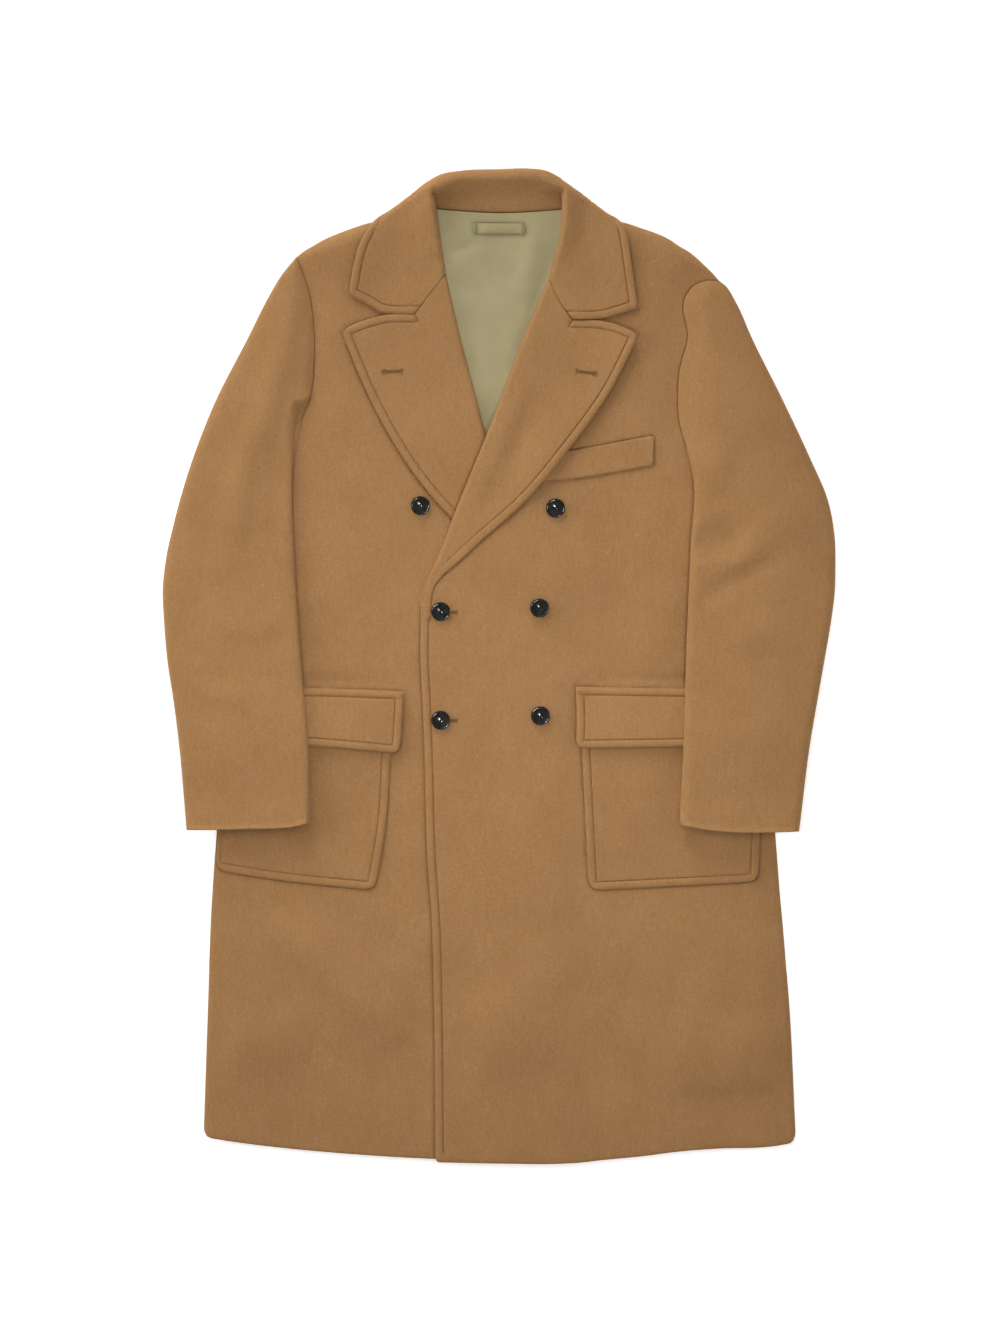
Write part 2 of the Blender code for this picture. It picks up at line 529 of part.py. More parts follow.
def fold_under(points, top, crease):
    """Places of flat collar points once the cloth beyond the crease is folded under.

    The cloth folds along directions that turn evenly from one end of the crease to the other. It turns
    in a half round as deep as the pile that it wraps, and past that it lies on the floor.
    """
    ends = np.array([crease[1] - crease[0], crease[-1] - crease[-2]])
    bearing = np.arctan2(ends[:, 1], ends[:, 0]) + 0.5 * math.pi
    bearing = np.linspace(*bearing, len(crease))
    outward = np.stack([np.cos(bearing), np.sin(bearing)], axis=1)
    gap = points[:, None] - crease[None]
    beside = np.abs(gap[..., 0] * outward[:, 1] - gap[..., 1] * outward[:, 0])
    near = np.argmin(beside, axis=1)
    outward, start = outward[near], crease[near]
    beyond = ((points - start) * outward).sum(axis=1)
    slide = (points - start) - beyond[:, None] * outward
    radius = 0.5 * top(start - CREASE_BACK * outward)
    round_in = beyond + radius
    angle = np.clip(round_in / radius, 0.0, math.pi)
    out = np.minimum(beyond, -radius) + radius * np.sin(angle) - np.maximum(round_in - math.pi * radius, 0.0)
    place = start + slide + out[:, None] * outward
    height = np.where(round_in < 0.0, top(place), radius * (1.0 + np.cos(angle)))
    return np.column_stack([place, height])


def outward_normals(places, faces):
    """Unit normal of the cloth at each of its points."""
    corner = places[faces]
    across = np.cross(corner[:, 1] - corner[:, 0], corner[:, 2] - corner[:, 0])
    normals = np.zeros_like(places)
    for i in range(3):
        np.add.at(normals, faces[:, i], across)
    return normals / np.linalg.norm(normals, axis=1, keepdims=True)


def lay_collar(pile, collection):
    """Collar in one piece: leaves on top in front, folded under at the crease, fall on the floor behind."""
    outline = [Edge("collar_gorge_right", 0), Edge("collar_roll_right", 0), Edge("collar_seam", 0),
               Edge("collar_roll_left", 0), Edge("collar_gorge_left", 0), Edge("collar_end_left", 10),
               Edge("collar_edge", 10), Edge("collar_end_right", 0)]
    crease = drawn("silhouette")
    rest = pile.rest(["fall", "front_right", "front_left", "collar_stand"], COLLAR_REACH, BODY_DROOP)

    def top(places):
        return np.maximum(pile.at(rest, places) + SEAM, COLLAR + CREASE_AIR) + COLLAR

    insets = [0.0, 0.5 * BAND, BAND]
    loops = [inset_loop(outline, inset) for inset in insets]
    length = np.linalg.norm(np.diff(crease, axis=0), axis=1).sum()
    bends = [shifted(stretch(crease, 0, length, CREASE_POINTS), offset) for offset in BENDS]
    points, faces = cut_cloth(loops, COLLAR_SPACING, bends)
    places = fold_under(points, top, crease)
    relief = stitched_relief(points, ["collar_end_right", "collar_end_left", "collar_edge"])
    facing = outward_normals(places, faces)
    inner = places - COLLAR * facing
    outer = places - relief[:, None] * facing
    item = walled("collar", inner, outer, faces, collection)
    painted(item, CAMEL, 0.9)


def make_button(button, pile, collection):
    """Turned button with a raised rim and a dished face, seated on the cloth under it."""
    spot = np.array([(button.x, button.y)], float)
    seat = pile.at(pile.rest(button.lies_on, BUTTON_FOOT, BUTTON_DROOP), spot)[0] + SEAM
    dish = BUTTON_HEIGHT - BUTTON_DISH
    profile = [(0.0, dish), (BUTTON_RADIUS - 2 * BUTTON_RIM, dish),
               (BUTTON_RADIUS - BUTTON_RIM, BUTTON_HEIGHT), (BUTTON_RADIUS - 0.4 * BUTTON_RIM, BUTTON_HEIGHT),
               (BUTTON_RADIUS, BUTTON_HEIGHT - 0.4 * BUTTON_RIM), (BUTTON_FOOT, 0.0), (0.0, 0.0)]
    mesh = bpy.data.meshes.new(button.name)
    sides = [(i, i + 1) for i in range(len(profile) - 1)]
    mesh.from_pydata([(x * MM, 0.0, z * MM) for x, z in profile], sides, [])
    item = new_object(button.name, mesh, collection)
    item.location = (button.x * MM, button.y * MM, seat * MM)
    turn = item.modifiers.new("Turn", "SCREW")
    turn.steps = turn.render_steps = BUTTON_SIDES
    turn.use_merge_vertices = True
    turn.merge_threshold = 0.00001
    painted(item, HORN, 0.25)


def main():
    """Clear the scene and build the coat from the floor up."""
    for item in list(bpy.data.objects):
        bpy.data.objects.remove(item)
    collection = bpy.data.collections.new("double_breasted_coat")
    bpy.context.scene.collection.children.link(collection)
    pile = Pile()
    fall = np.array(FALL, float)
    fan = np.array([(0, i, i + 1) for i in range(1, len(fall) - 1)])
    pile.lay("fall", fall, np.full(len(fall), COLLAR), fan)
    for panel in PANELS:
        lay_panel(panel, pile, collection)
    lay_collar(pile, collection)
    for button in BUTTONS:
        make_button(button, pile, collection)


main()
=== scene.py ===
"""Dresses a double-breasted wool overcoat, laid on its back and buttoned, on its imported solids.

Tables are in millimetres: X runs to the wearer's left, Y from the hem to the collar and Z up from
the surface that the coat lies on. Each panel is cut from its outline, laid on the layers under it,
given its thickness and finished along its edges as a tailor would finish it.
"""

from __future__ import annotations

import logging
import math
from dataclasses import dataclass, field
from enum import Enum
from functools import partial
from typing import Any

import bpy
import numpy as np
from mathutils import Matrix, Vector
from mathutils.geometry import delaunay_2d_cdt

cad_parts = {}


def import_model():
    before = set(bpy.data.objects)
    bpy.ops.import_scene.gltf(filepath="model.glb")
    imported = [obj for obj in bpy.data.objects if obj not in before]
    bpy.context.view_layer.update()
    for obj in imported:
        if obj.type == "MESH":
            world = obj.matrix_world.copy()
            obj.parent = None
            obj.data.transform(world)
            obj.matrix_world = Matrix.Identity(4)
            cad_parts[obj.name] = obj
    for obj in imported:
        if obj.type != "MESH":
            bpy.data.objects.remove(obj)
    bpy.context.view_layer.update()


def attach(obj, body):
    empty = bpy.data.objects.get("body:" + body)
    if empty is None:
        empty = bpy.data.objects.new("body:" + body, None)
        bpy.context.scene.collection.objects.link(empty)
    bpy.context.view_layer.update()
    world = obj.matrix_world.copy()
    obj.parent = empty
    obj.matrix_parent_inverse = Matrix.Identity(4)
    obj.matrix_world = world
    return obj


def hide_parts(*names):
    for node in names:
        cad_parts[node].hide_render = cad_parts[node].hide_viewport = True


LOG = logging.getLogger("overcoat")
Points = np.ndarray
Marks = tuple[tuple[float, float], ...]

MM = 0.001
WHITE = (1.0, 1.0, 1.0, 1.0)
DIAGONAL = 0.71         # share of a slanting reach that runs across

# Cloth walls and gaps
MELTON = 2.4            # body cloth, one layer
LINING = 1.0
DOUBLE = 3.6            # two layers sewn, turned and pressed
PATCH = 1.4             # pocket patch, pressed flat
LEAF = 2.8              # collar leaf
SEAM = 0.3

# Edge finishes
BAND = 9.0              # swelled edge, from the edge to its row of stitching
DOME = 0.9              # rise of the swelled edge between edge and stitching
GROOVE_HALF = 1.1
GROOVE_DEPTH = 1.3
GROOVE_ROWS = (-1.1, -0.5, 0.0, 0.5, 1.1)
SEAM_HALF = 1.1
SEAM_DEPTH = 0.75
SLIT_DEPTH = 1.2        # cut of a buttonhole
SLIT_HALF = 1.3
SLIT_STEP = 0.9
SLIT_ROWS = (-2.4, -1.3, -0.55, 0.0, 0.55, 1.3, 2.4)
ROUND_OVER = 0.52       # shares of the wall that a turned edge is rounded by, from above and below
ROUND_UNDER = 0.40
PLAIN_OVER = 0.5
PLAIN_UNDER = 0.36
EDGE_ROUND = 2.0        # rounding of a turned edge, across the cloth
SUNK_REACH = 7.0
GORGES = ("gorge_right", "gorge_left")
NIP_DEPTH = 1.1         # dent that the edge of a laid piece leaves in the cloth under it
NIP_HALF = 2.4
NIP_ROWS = (-2.4, -1.4, -0.6, 0.0, 0.6, 1.4, 2.4)
LIFT_REACH = 46.0       # how far in from a free edge the cloth springs up
FREE_REACH = 70.0       # how far in from a free armhole the under sleeve climbs
PLAIN_ROUND = 3.0
LIP_REACH = 5.5         # width of the rise along a turned hem
TUCK_ROUND = 4.0
CREASE_ENDS = 0.7       # how bluntly a fold ends
CALM_REACH = 20.0       # how far in from a sewn or turned edge the waves of the cloth begin
PRESSED = 0.5           # share of the waves that is left in a pressed piece
LEAST_WALL = 0.2
LEAST_TAPER = 0.06      # share of the wall that is left at the thin end of a taper
LEAST_CLOTH = 0.12      # gap kept between the two sides of the cloth
ROLL_GAP = 0.05         # gap between a rolled edge and the layer under it
ROLL_HOLD = 4.0         # how far past a layer a rolled edge stays level
ROLL_DROOP = (0.4, 0.4)     # slopes at which it then falls away
AIR_ROUND = 0.6         # how round the air under a piece closes at its edges, the rest being eased
AIR_WAVES = 2.0         # how much stronger the waves are over air
STITCH_SLACK = 0.15     # how much nearer to an edge than its band a row of stitching may come
LEAST_ROW = 4           # a row of no more points than this is left out
BANK_HALF = 86.0        # half width of a banked panel, and how far its rise fades out at each end
BANK_FADE = 36.0
THIN = 0.3              # what is left of the wall at a rounded edge
FAR = 1000.0            # distance from something that isn't there
CLOSE_REACH = 16.0      # how far round its corner a closed band is looked for
CLOSE_POINTS = 14

# Mesh sizes
CURVE_STEP = 3.0
OUTLINE_STEP = 5.0
CREASE_STEP = 6.0
TURN_POINTS = 9
KEEP_OFF = 0.45         # gap between the lattice and the rows along the edge, over the spacing
ROW_SLACK = 0.12
MERGE = 0.35            # points nearer than this are one
FINE_INSETS = (0.0, 0.5, 1.3, 2.6, 4.6, 6.6, 7.9, 8.6, 9.0, 9.4, 10.1, 11.4, 14.0)
PLAIN_INSETS = (0.0, 0.5, 1.3, 2.6, 4.5, 7.5, 11.0, 15.0)

# Height map of the pile of cloth
CELL = 3.0
HALF_WIDTH = 450.0
HALF_LENGTH = 630.0


class EdgeKind(Enum):
    """How the cloth ends along an edge."""

    SWELLED = "turned, pressed and stitched a band inside the edge"
    ROLLED = "folded round and down to the layer under it"
    TUCKED = "lower half of a fold, its underside rounded up"
    PLAIN = "turned in and pressed"
    SEWN = "seamed to the piece beside it, with a shallow line along the seam"
    HIDDEN = "sewn in under another piece"


@dataclass(frozen=True)
class Edge:
    """Side of a panel's outline; a leading minus in the name runs the curve backwards."""

    name: str
    kind: EdgeKind
    turn: float = 0.0       # length of the rounded corner at its end
    band: float = BAND
    roll: float = 12.0      # width over which a rolled edge comes down
    lift: tuple[float, float] = (0.0, 0.0)      # how far a free edge springs up, at its start and at its end
    closing: float = 0.0    # width over which the air under the cloth closes towards the edge
    sunk: float = 0.0       # how far the edge is drawn down into the seam that holds it
    onto: tuple[str, ...] = ()      # what a rolled edge comes down to
    lip: float = 0.0        # rise of a turned hem right at its edge
    through: bool = False   # whether its row of stitching runs on across its neighbours' bands


# Pattern edges, each a smooth line through its marks
EDGES: dict[str, Marks] = {
    "hem_right": ((-335, -527), (-331, -534), (-317, -537.5), (-294, -541), (-249, -546.5), (-158, -554.5),
        (-73, -559.5), (58, -561)),
    "hem_left": ((-72, -563), (0, -564.5), (69, -564.7), (92, -563.6), (115, -561), (160, -556.7),
        (205, -551), (251, -547.6), (296, -546.5), (319, -544), (333, -540), (336.5, -531)),
    "centre_back": ((0, 480), (0, 0), (0, -549)),
    "hem_back": ((-333, -523), (-249, -541), (0, -551), (228, -543), (334, -528)),
    "side_right": ((-279, 260), (-301, 29), (-321, -198), (-327, -289), (-330, -380), (-335, -527)),
    "side_left": ((280, 260), (296, 29), (314, -198), (321, -289), (329, -380), (336.5, -531)),
    "side_back_right": ((-279, 260), (-300, 29), (-320, -198), (-328, -346), (-333, -523)),
    "side_back_left": ((280, 260), (295, 29), (313, -198), (326, -346), (334, -528)),
    "armhole_right": ((-230, 463), (-215, 420), (-210, 380), (-210, 340), (-213, 310), (-224, 280)),
    "armhole_left": ((250, 436), (233, 436), (220, 430), (211, 417), (209, 401), (213, 385), (214, 370),
        (209, 352), (204.5, 333), (203, 312), (203.5, 284), (208, 262), (212, 250)),
    "underarm_right": ((-224, 280), (-243, 264), (-279, 260)),
    "underarm_left": ((212, 250), (239, 248), (280, 260)),
    "armhole_back_right": ((-230, 463), (-226, 420), (-226, 350), (-240, 285), (-279, 260)),
    "armhole_back_left": ((250, 436), (236, 420), (224, 350), (232, 285), (280, 260)),
    "shoulder_right": ((-95, 517), (-130, 505), (-147, 502), (-165, 496.5), (-184, 489.5), (-199, 483),
        (-211, 476), (-222, 469.5), (-230, 463)),
    "shoulder_left": ((93, 517), (128, 505), (143, 502), (160, 496.5), (180, 489.7), (194, 483), (204, 476),
        (216, 469), (231, 456), (245, 442), (250, 436)),
    "neck_back": ((-95, 517), (-73, 516), (2, 511), (70, 515), (93, 517)),
    "neck_right": ((-70, 446), (-78, 480), (-84, 504), (-95, 517)),
    "neck_left": ((64, 440), (70, 465), (78, 498), (93, 517)),
    "roll_right": ((-60, 443), (-46, 382), (-25, 301), (-15, 263), (24, 176), (56, 97)),
    "roll_left": ((56, 438), (29, 375), (-14, 262), (-49, 176), (-71, 120), (-80, 101), (-86, 88),
        (-88.5, 74), (-89, 52)),
    "lapel_foot_left": ((-89, 52), (-78, 52)),
    "break_right": ((50, 100), (16, 176), (-22, 263), (-44, 346), (-70, 446)),
    "break_left": ((64, 440), (37, 375), (-6, 262), (-41, 176), (-65, 114), (-86, 78), (-88.5, 66)),
    "front_right": ((58, -561), (58, -240), (50, 100)),
    "front_left": ((-88.5, 66), (-89, 5), (-86.7, -44), (-84.5, -105), (-81, -221), (-76.3, -290),
        (-73.8, -383), (-72, -563)),
    "lapel_right": ((56, 97), (1, 125), (-53, 167), (-87, 205), (-128, 267), (-149, 308), (-179, 379)),
    "lapel_left": ((-78, 52), (-77, 76), (-74.5, 88), (-67, 99), (-49, 115), (-25, 137), (30, 186),
        (81, 247), (126, 310), (159, 375)),
    "lapel_top_right": ((-179, 379), (-163, 387), (-146, 393), (-130, 397), (-96, 398)),
    "lapel_top_left": ((159, 375), (142, 383), (130, 387.5), (116, 390.5), (84, 392)),
    "gorge_right": ((-96, 398), (-85, 412), (-60, 443)),
    "gorge_left": ((84, 392), (73, 406), (56, 438)),
    "lapel_close_right": ((-96, 398), (-91.5, 390.2)),
    "lapel_close_left": ((84, 392), (79.6, 384.1)),
    "collar_run_right": ((-96, 398), (-87, 398)),
    "collar_run_left": ((75, 392), (84, 392)),
    "collar_end_right": ((-171, 420), (-151, 410.5), (-132, 400), (-120, 398.4), (-96, 398)),
    "collar_end_left": ((84, 392), (108, 392.4), (118, 393.4), (137, 398.5), (158, 405.5)),
    "collar_edge": ((158, 405.5), (152, 444), (141, 505), (121, 548), (98, 588), (75, 616), (52, 629),
        (0, 632), (-58, 625), (-92, 602), (-121, 562), (-145, 505), (-158, 477), (-171, 420)),
    "collar_roll_right": ((-60, 443), (-65, 475), (-69, 506), (-73, 535)),
    "collar_roll_left": ((70, 537), (71, 516), (69, 490), (56, 438)),
    "collar_seam": ((-73, 535), (0, 533.5), (70, 537)),
    "silhouette": ((-160, 490), (-145, 501.5), (-115, 522.5), (-97, 536), (-79, 549.5), (-66, 556.5),
        (-45, 560.5), (0, 562.5), (36, 563), (52, 561), (63, 556), (83, 542.5), (101, 529), (119, 515.5),
        (140, 501.5), (156, 491)),
    "neck_crest": ((-64, 462), (-72, 500), (-77, 524), (-74, 540), (-62, 549), (-44, 552.5), (0, 554),
        (42, 553), (60, 549), (72, 540), (75, 524), (74, 500), (62, 458)),
    "stand_top": ((82, 540), (0, 539), (-86, 540)),
    "stand_foot": ((-86, 519.5), (-73, 518), (2, 513), (70, 517), (82, 518.5)),
    "lining_neck": ((-92, 519.5), (-73, 517.5), (2, 512.5), (70, 516.5), (90, 518.5)),
    "lining_right": ((-92, 519.5), (-98, 450), (-76, 350), (-44, 236)),
    "lining_left": ((14, 236), (50, 350), (86, 440), (90, 518.5)),
    "lining_foot": ((-44, 236), (14, 236)),
    "loop_top": ((29, 501), (-29, 501)),
    "loop_foot": ((-29, 489.5), (29, 489.5)),
    "loop_right": ((-29, 501), (-29, 489.5)),
    "loop_left": ((29, 489.5), (29, 501)),
    "armhole_upper_right": ((-230, 463), (-215, 420), (-210, 380), (-210, 340), (-212, 315)),
    "underarm_fold_right": ((-212, 315), (-215.5, 301), (-221, 296.5), (-229, 295)),
    "sleeve_fold_right": ((-229, 295), (-231, 270), (-234, 225), (-232, 120), (-224, 2), (-216, -89),
        (-214, -178)),
    "sleeve_inner_right": ((-224, 280), (-234, 225), (-232, 120), (-224, 2), (-216, -89), (-214, -178)),
    "sleeve_inner_left": ((212, 250), (220, 215), (217, 132), (213, 41), (208, -102), (204, -180)),
    "cuff_right": ((-214, -178), (-230, -182), (-284, -185), (-354, -186.5)),
    "cuff_left": ((204, -180), (235, -186), (274, -189), (340, -188)),
    "sleeve_outer_right": ((-354, -186.5), (-363, -85), (-369, -39), (-376, 6), (-380, 52), (-381.5, 85),
        (-378, 120), (-368, 165), (-348, 233), (-321, 301), (-286, 369), (-263, 415), (-247, 442),
        (-230, 463)),
    "sleeve_outer_left": ((340, -188), (353, -85), (361, -39), (369, 6), (377, 52), (381, 85), (381.7, 115),
        (381, 143), (373, 188), (354, 233), (322, 301), (288, 369), (267, 415), (258, 429.5), (250, 436)),
    "patch_mouth_right": ((-122, -60), (-312, -58)),
    "patch_front_right": ((-141, -255), (-130, -193), (-122, -60)),
    "patch_foot_right": ((-321, -232), (-260, -242), (-141, -255)),
    "patch_side_right": ((-312, -58), (-321, -232)),
    "patch_mouth_left": ((300, -60), (92, -60)),
    "patch_front_left": ((92, -60), (97, -157), (102, -255)),
    "patch_foot_left": ((102, -255), (185, -251), (294, -245)),
    "patch_side_left": ((294, -245), (300, -60)),
    "flap_top_right": ((-108, -29), (-188, -26), (-308, -25)),
    "flap_front_right": ((-113, -100), (-111, -81), (-108, -29)),
    "flap_foot_right": ((-314, -88), (-216, -91), (-113, -100)),
    "flap_side_right": ((-308, -25), (-314, -88)),
    "flap_top_left": ((298, -27), (211, -26), (87, -24)),
    "flap_front_left": ((87, -24), (88, -66), (87, -94)),
    "flap_foot_left": ((87, -94), (210, -92), (302, -90)),
    "flap_side_left": ((302, -90), (298, -27)),
    "welt_top": ((176, 261), (134, 253), (81, 244), (40, 240)),
    "welt_side": ((175, 227), (176, 261)),
    "welt_foot": ((34, 208), (100, 214), (130, 219), (175, 227)),
    "welt_lapel": ((40, 240), (34, 208)),
}

# Lines of the tacks that hold the hanger loop
TACKS = (((-26.8, 489.0), (-26.8, 501.5)), ((26.8, 489.0), (26.8, 501.5)))
TACK_STEP = 1.0

# Ground that the collar's fall takes up under the back
FALL = ((-146, 502), (-115, 498), (0, 487), (112, 498), (142, 502), (84, 544), (44, 564), (-52, 560))


@dataclass(frozen=True)
class Crease:
    """Soft ridge or trough along a curve, fading out at both ends and to both sides."""

    path: Marks
    half_width: float
    height: float           # below zero for a trough


CREASES: dict[str, tuple[Crease, ...]] = {
    "sleeve_top_right": (
        Crease(((-236, 430), (-247, 372), (-270, 278), (-289, 223), (-303, 152), (-312, 90)), 26, 4.2),
        Crease(((-300, 318), (-318, 240), (-336, 160), (-344, 90)), 24, -1.6),
        Crease(((-236, 300), (-250, 220), (-254, 140)), 20, -1.4),
        Crease(((-356, -16), (-332, -46), (-300, -60)), 28, -3.6),
        Crease(((-362, -20), (-320, -34), (-270, -34)), 26, 2.6),
        Crease(((-240, 60), (-282, 40), (-330, 56)), 24, 2.0),
        Crease(((-300, -80), (-308, -130), (-296, -165)), 30, 1.6),
    ),
    "sleeve_top_left": (
        Crease(((262, 405), (290, 330), (318, 262)), 34, 3.0),
        Crease(((222, 146), (250, 136), (280, 146)), 24, -5.6),
        Crease(((224, 166), (250, 174), (286, 168)), 20, 2.0),
        Crease(((200, 88), (250, 118), (304, 148), (350, 170)), 38, 4.0),
        Crease(((216, 66), (262, 92), (322, 124)), 18, -2.2),
        Crease(((232, 300), (246, 230), (244, 190)), 24, 2.0),
        Crease(((250, 20), (300, 40), (350, 30)), 30, 2.2),
        Crease(((240, -60), (290, -80), (330, -60)), 34, 1.8),
        Crease(((226, 414), (226, 398), (222, 380)), 13, -4.0),
        Crease(((252, 428), (240, 428), (228, 424)), 12, 2.4),
    ),
    "front_right": (
        Crease(((-138, 506), (-185, 482), (-218, 462)), 74, 5.0),
        Crease(((-300, -70), (-200, -72), (-115, -75)), 130, 3.0),
        Crease(((-243, -272), (-180, -360), (-112, -431)), 42, 8.0),
        Crease(((-310, -412), (-262, -420), (-210, -432)), 60, 5.0),
        Crease(((-320, -330), (-270, -340), (-216, -352)), 84, 2.6),
        Crease(((-92, -380), (-86, -470), (-90, -548)), 20, -1.6),
        Crease(((-110, -20), (-188, -17), (-300, -16)), 11, -2.4),
        Crease(((-150, 160), (-170, 60), (-150, -10)), 44, 1.6),
    ),
    "front_left": (
        Crease(((132, 506), (190, 482), (236, 448)), 74, 5.0),
        Crease(((300, -70), (200, -72), (95, -72)), 130, 3.0),
        Crease(((-70, -408), (0, -424), (76, -412)), 96, 9.0),
        Crease(((-60, -322), (20, -334), (96, -322)), 104, 4.0),
        Crease(((170, -436), (260, -446), (338, -438)), 64, 7.0),
        Crease(((150, -352), (240, -366), (330, -352)), 92, 3.6),
        Crease(((185, -491), (256, -488), (328, -486)), 12, -0.9),
        Crease(((230, -280), (238, -360), (228, -430)), 50, 1.6),
        Crease(((140, 180), (180, 90), (176, -10)), 46, 1.8),
        Crease(((-60, 88), (-50, 72), (-52, 52)), 18, -1.4),
        Crease(((90, -15), (211, -17), (296, -18)), 11, -2.4),
    ),
    "lapel_left": (
        Crease(((-24, 166), (22, 240), (62, 316)), 34, -2.0),
        Crease(((-44, 150), (-2, 240), (36, 334)), 15, 1.2),
    ),
    "hanger_loop": (
        Crease(((-25, 495.2), (0, 495.4), (25, 495.2)), 10, 1.6),
        Crease(((-24.0, 480), (-24.0, 495), (-24.0, 510)), 1.1, -1.3),
        Crease(((24.0, 480), (24.0, 495), (24.0, 510)), 1.1, -1.3),
    ),
    "back_lining": (
        Crease(((-76, 530), (-68, 470), (-52, 400), (-26, 300)), 15, 2.6),
        Crease(((71, 530), (64, 468), (44, 412), (10, 330)), 9, -2.2),
        Crease(((-66, 468), (-44, 472), (-20, 482)), 10, -1.8),
        Crease(((-62, 452), (-40, 458), (-8, 470)), 15, 0.6),
        Crease(((48, 514), (36, 461), (22, 408)), 16, 2.2),
        Crease(((62, 484), (50, 440), (34, 392)), 10, -1.3),
        Crease(((-30, 430), (-18, 380), (-14, 310)), 18, 1.4),
        Crease(((-40, 350), (-24, 300), (-14, 262)), 14, -1.2),
    ),
    "back": (
        Crease(((-190, 300), (-120, 240), (20, 250)), 40, 0.7),
        Crease(((-60, 60), (40, 20), (180, 60)), 46, 0.6),
        Crease(((120, -200), (140, -340), (120, -470)), 44, 0.6),
        Crease(((-200, -160), (-180, -300), (-196, -440)), 48, 0.7),
    ),
    "sleeve_under_right": (
        Crease(((-330, 260), (-340, 150), (-330, 40)), 26, 0.6),
    ),
    "sleeve_under_left": (
        Crease(((330, 260), (352, 150), (340, 40)), 26, 0.6),
    ),
}


@dataclass(frozen=True)
class Buttonhole:
    """Worked buttonhole: a slit with purled lips, a bar at one end and an eye at the other on the lapels."""

    name: str
    panel: str
    start: tuple[float, float]
    bar: tuple[float, float]
    eye: float = 0.0            # radius of the eye
    lip: float = 1.15           # from the slit to the middle of each lip
    bar_length: float = 7.6
    bar_points: int = 12
    eye_points: int = 24
    eye_lip: float = 0.5        # from the eye to the middle of its purl
    eye_open: float = 0.75      # half of the turn that the eye leaves open to the slit, in radians

    def slit(self) -> Points:
        """Line of the cut."""
        return curve_through(np.array([self.start, self.bar], float), SLIT_STEP)

    def lines(self) -> tuple[Points, ...]:
        """Rows of mesh points that let the cut show."""
        return tuple(shifted(self.slit(), offset) for offset in SLIT_ROWS)

    def runs(self) -> list[Points]:
        """Lines in the plane along which the purl stitches stand crosswise."""
        slit = self.slit()
        ahead = (slit[-1] - slit[0]) / np.linalg.norm(slit[-1] - slit[0])
        aside = np.array([-ahead[1], ahead[0]])
        found = [shifted(slit, self.lip), shifted(slit, -self.lip)]
        found.append(slit[-1] + np.linspace(-0.5, 0.5, self.bar_points)[:, None] * self.bar_length * aside)
        if self.eye:
            turn = np.linspace(self.eye_open, 2 * math.pi - self.eye_open, self.eye_points)[:, None]
            found.append(slit[0] + (self.eye + self.eye_lip) * (np.cos(turn) * ahead + np.sin(turn) * aside))
        return found


BUTTONHOLES = (
    Buttonhole("lapel_right_buttonhole", "lapel_right", (-130.2, 332.6), (-110.0, 333.4), 2.1),
    Buttonhole("lapel_left_buttonhole", "lapel_left", (108.4, 330.6), (87.4, 333.4), 2.1),
    Buttonhole("front_middle_buttonhole", "front_left", (-60, 60.2), (-47.6, 60.2), bar_length=5.6),
    Buttonhole("front_lower_buttonhole", "front_left", (-60, -62.4), (-47.6, -62.4), bar_length=5.6),
)


def ease(value: Points) -> Points:
    """Ease from 0 to 1 with no slope at either end."""
    value = np.clip(value, 0.0, 1.0)
    return value * value * (3 - 2 * value)


def fade(gap: Points, reach: float) -> Points:
    """Ease from 1 at no distance down to 0 at a reach."""
    return 1 - ease(gap / reach)


def quarter_round(share: Points) -> Points:
    """Rise of a quarter circle from 0 to 1."""
    share = np.clip(share, 0.0, 1.0)
    return np.sqrt(np.maximum(1 - (1 - share) ** 2, 0.0))


def higher(first: Points, second: Points, blend: float = 1.2) -> Points:
    """Upper of two surfaces, with the line where they meet rounded off."""
    return 0.5 * (first + second + np.sqrt((first - second) ** 2 + blend ** 2))


def run_length(line: Points) -> Points:
    """Length along a line at each of its points."""
    return np.concatenate([[0.0], np.cumsum(np.linalg.norm(np.diff(line, axis=0), axis=1))])


def curve_through(knots: Points, step: float = CURVE_STEP) -> Points:
    """Points along a smooth curve through some marks.

    Args:
        knots: The marks, one row each.
        step: Spacing of the points.

    Returns:
        The points, first and last mark included.
    """
    chord = np.linalg.norm(np.diff(knots, axis=0), axis=1)
    slope = np.tile((knots[-1] - knots[0]) / chord.sum(), (2, 1))
    if len(knots) > 2:
        slope = np.gradient(knots, np.concatenate([[0.0], np.cumsum(chord)]), axis=0)
    points = []
    for i, length in enumerate(chord):
        t = np.linspace(0.0, 1.0, max(2, round(length / step) + 1))[:-1, None]
        points.append((2 * t**3 - 3 * t**2 + 1) * knots[i] + (t**3 - 2 * t**2 + t) * length * slope[i]
                      + (3 * t**2 - 2 * t**3) * knots[i + 1] + (t**3 - t**2) * length * slope[i + 1])
    return np.vstack(points + [knots[-1:]])


def drawn(name: str) -> Points:
    """Curve of a named pattern edge; a leading minus runs it backwards."""
    knots = np.array(EDGES[name.lstrip("-")], float)
    return curve_through(knots[::-1] if name.startswith("-") else knots)


def shifted(line: Points, inset: float) -> Points:
    """A line moved sideways to its left."""
    along = np.gradient(line, axis=0)
    along /= np.linalg.norm(along, axis=1, keepdims=True)
    return line + inset * np.stack([-along[:, 1], along[:, 0]], axis=1)


def stretch(line: Points, start: float, end: float, count: int) -> Points:
    """Evenly spaced points on a line between two lengths along it."""
    at = run_length(line)
    want = np.linspace(start, end, count)
    return np.stack([np.interp(want, at, line[:, i]) for i in range(line.shape[1])], axis=1)


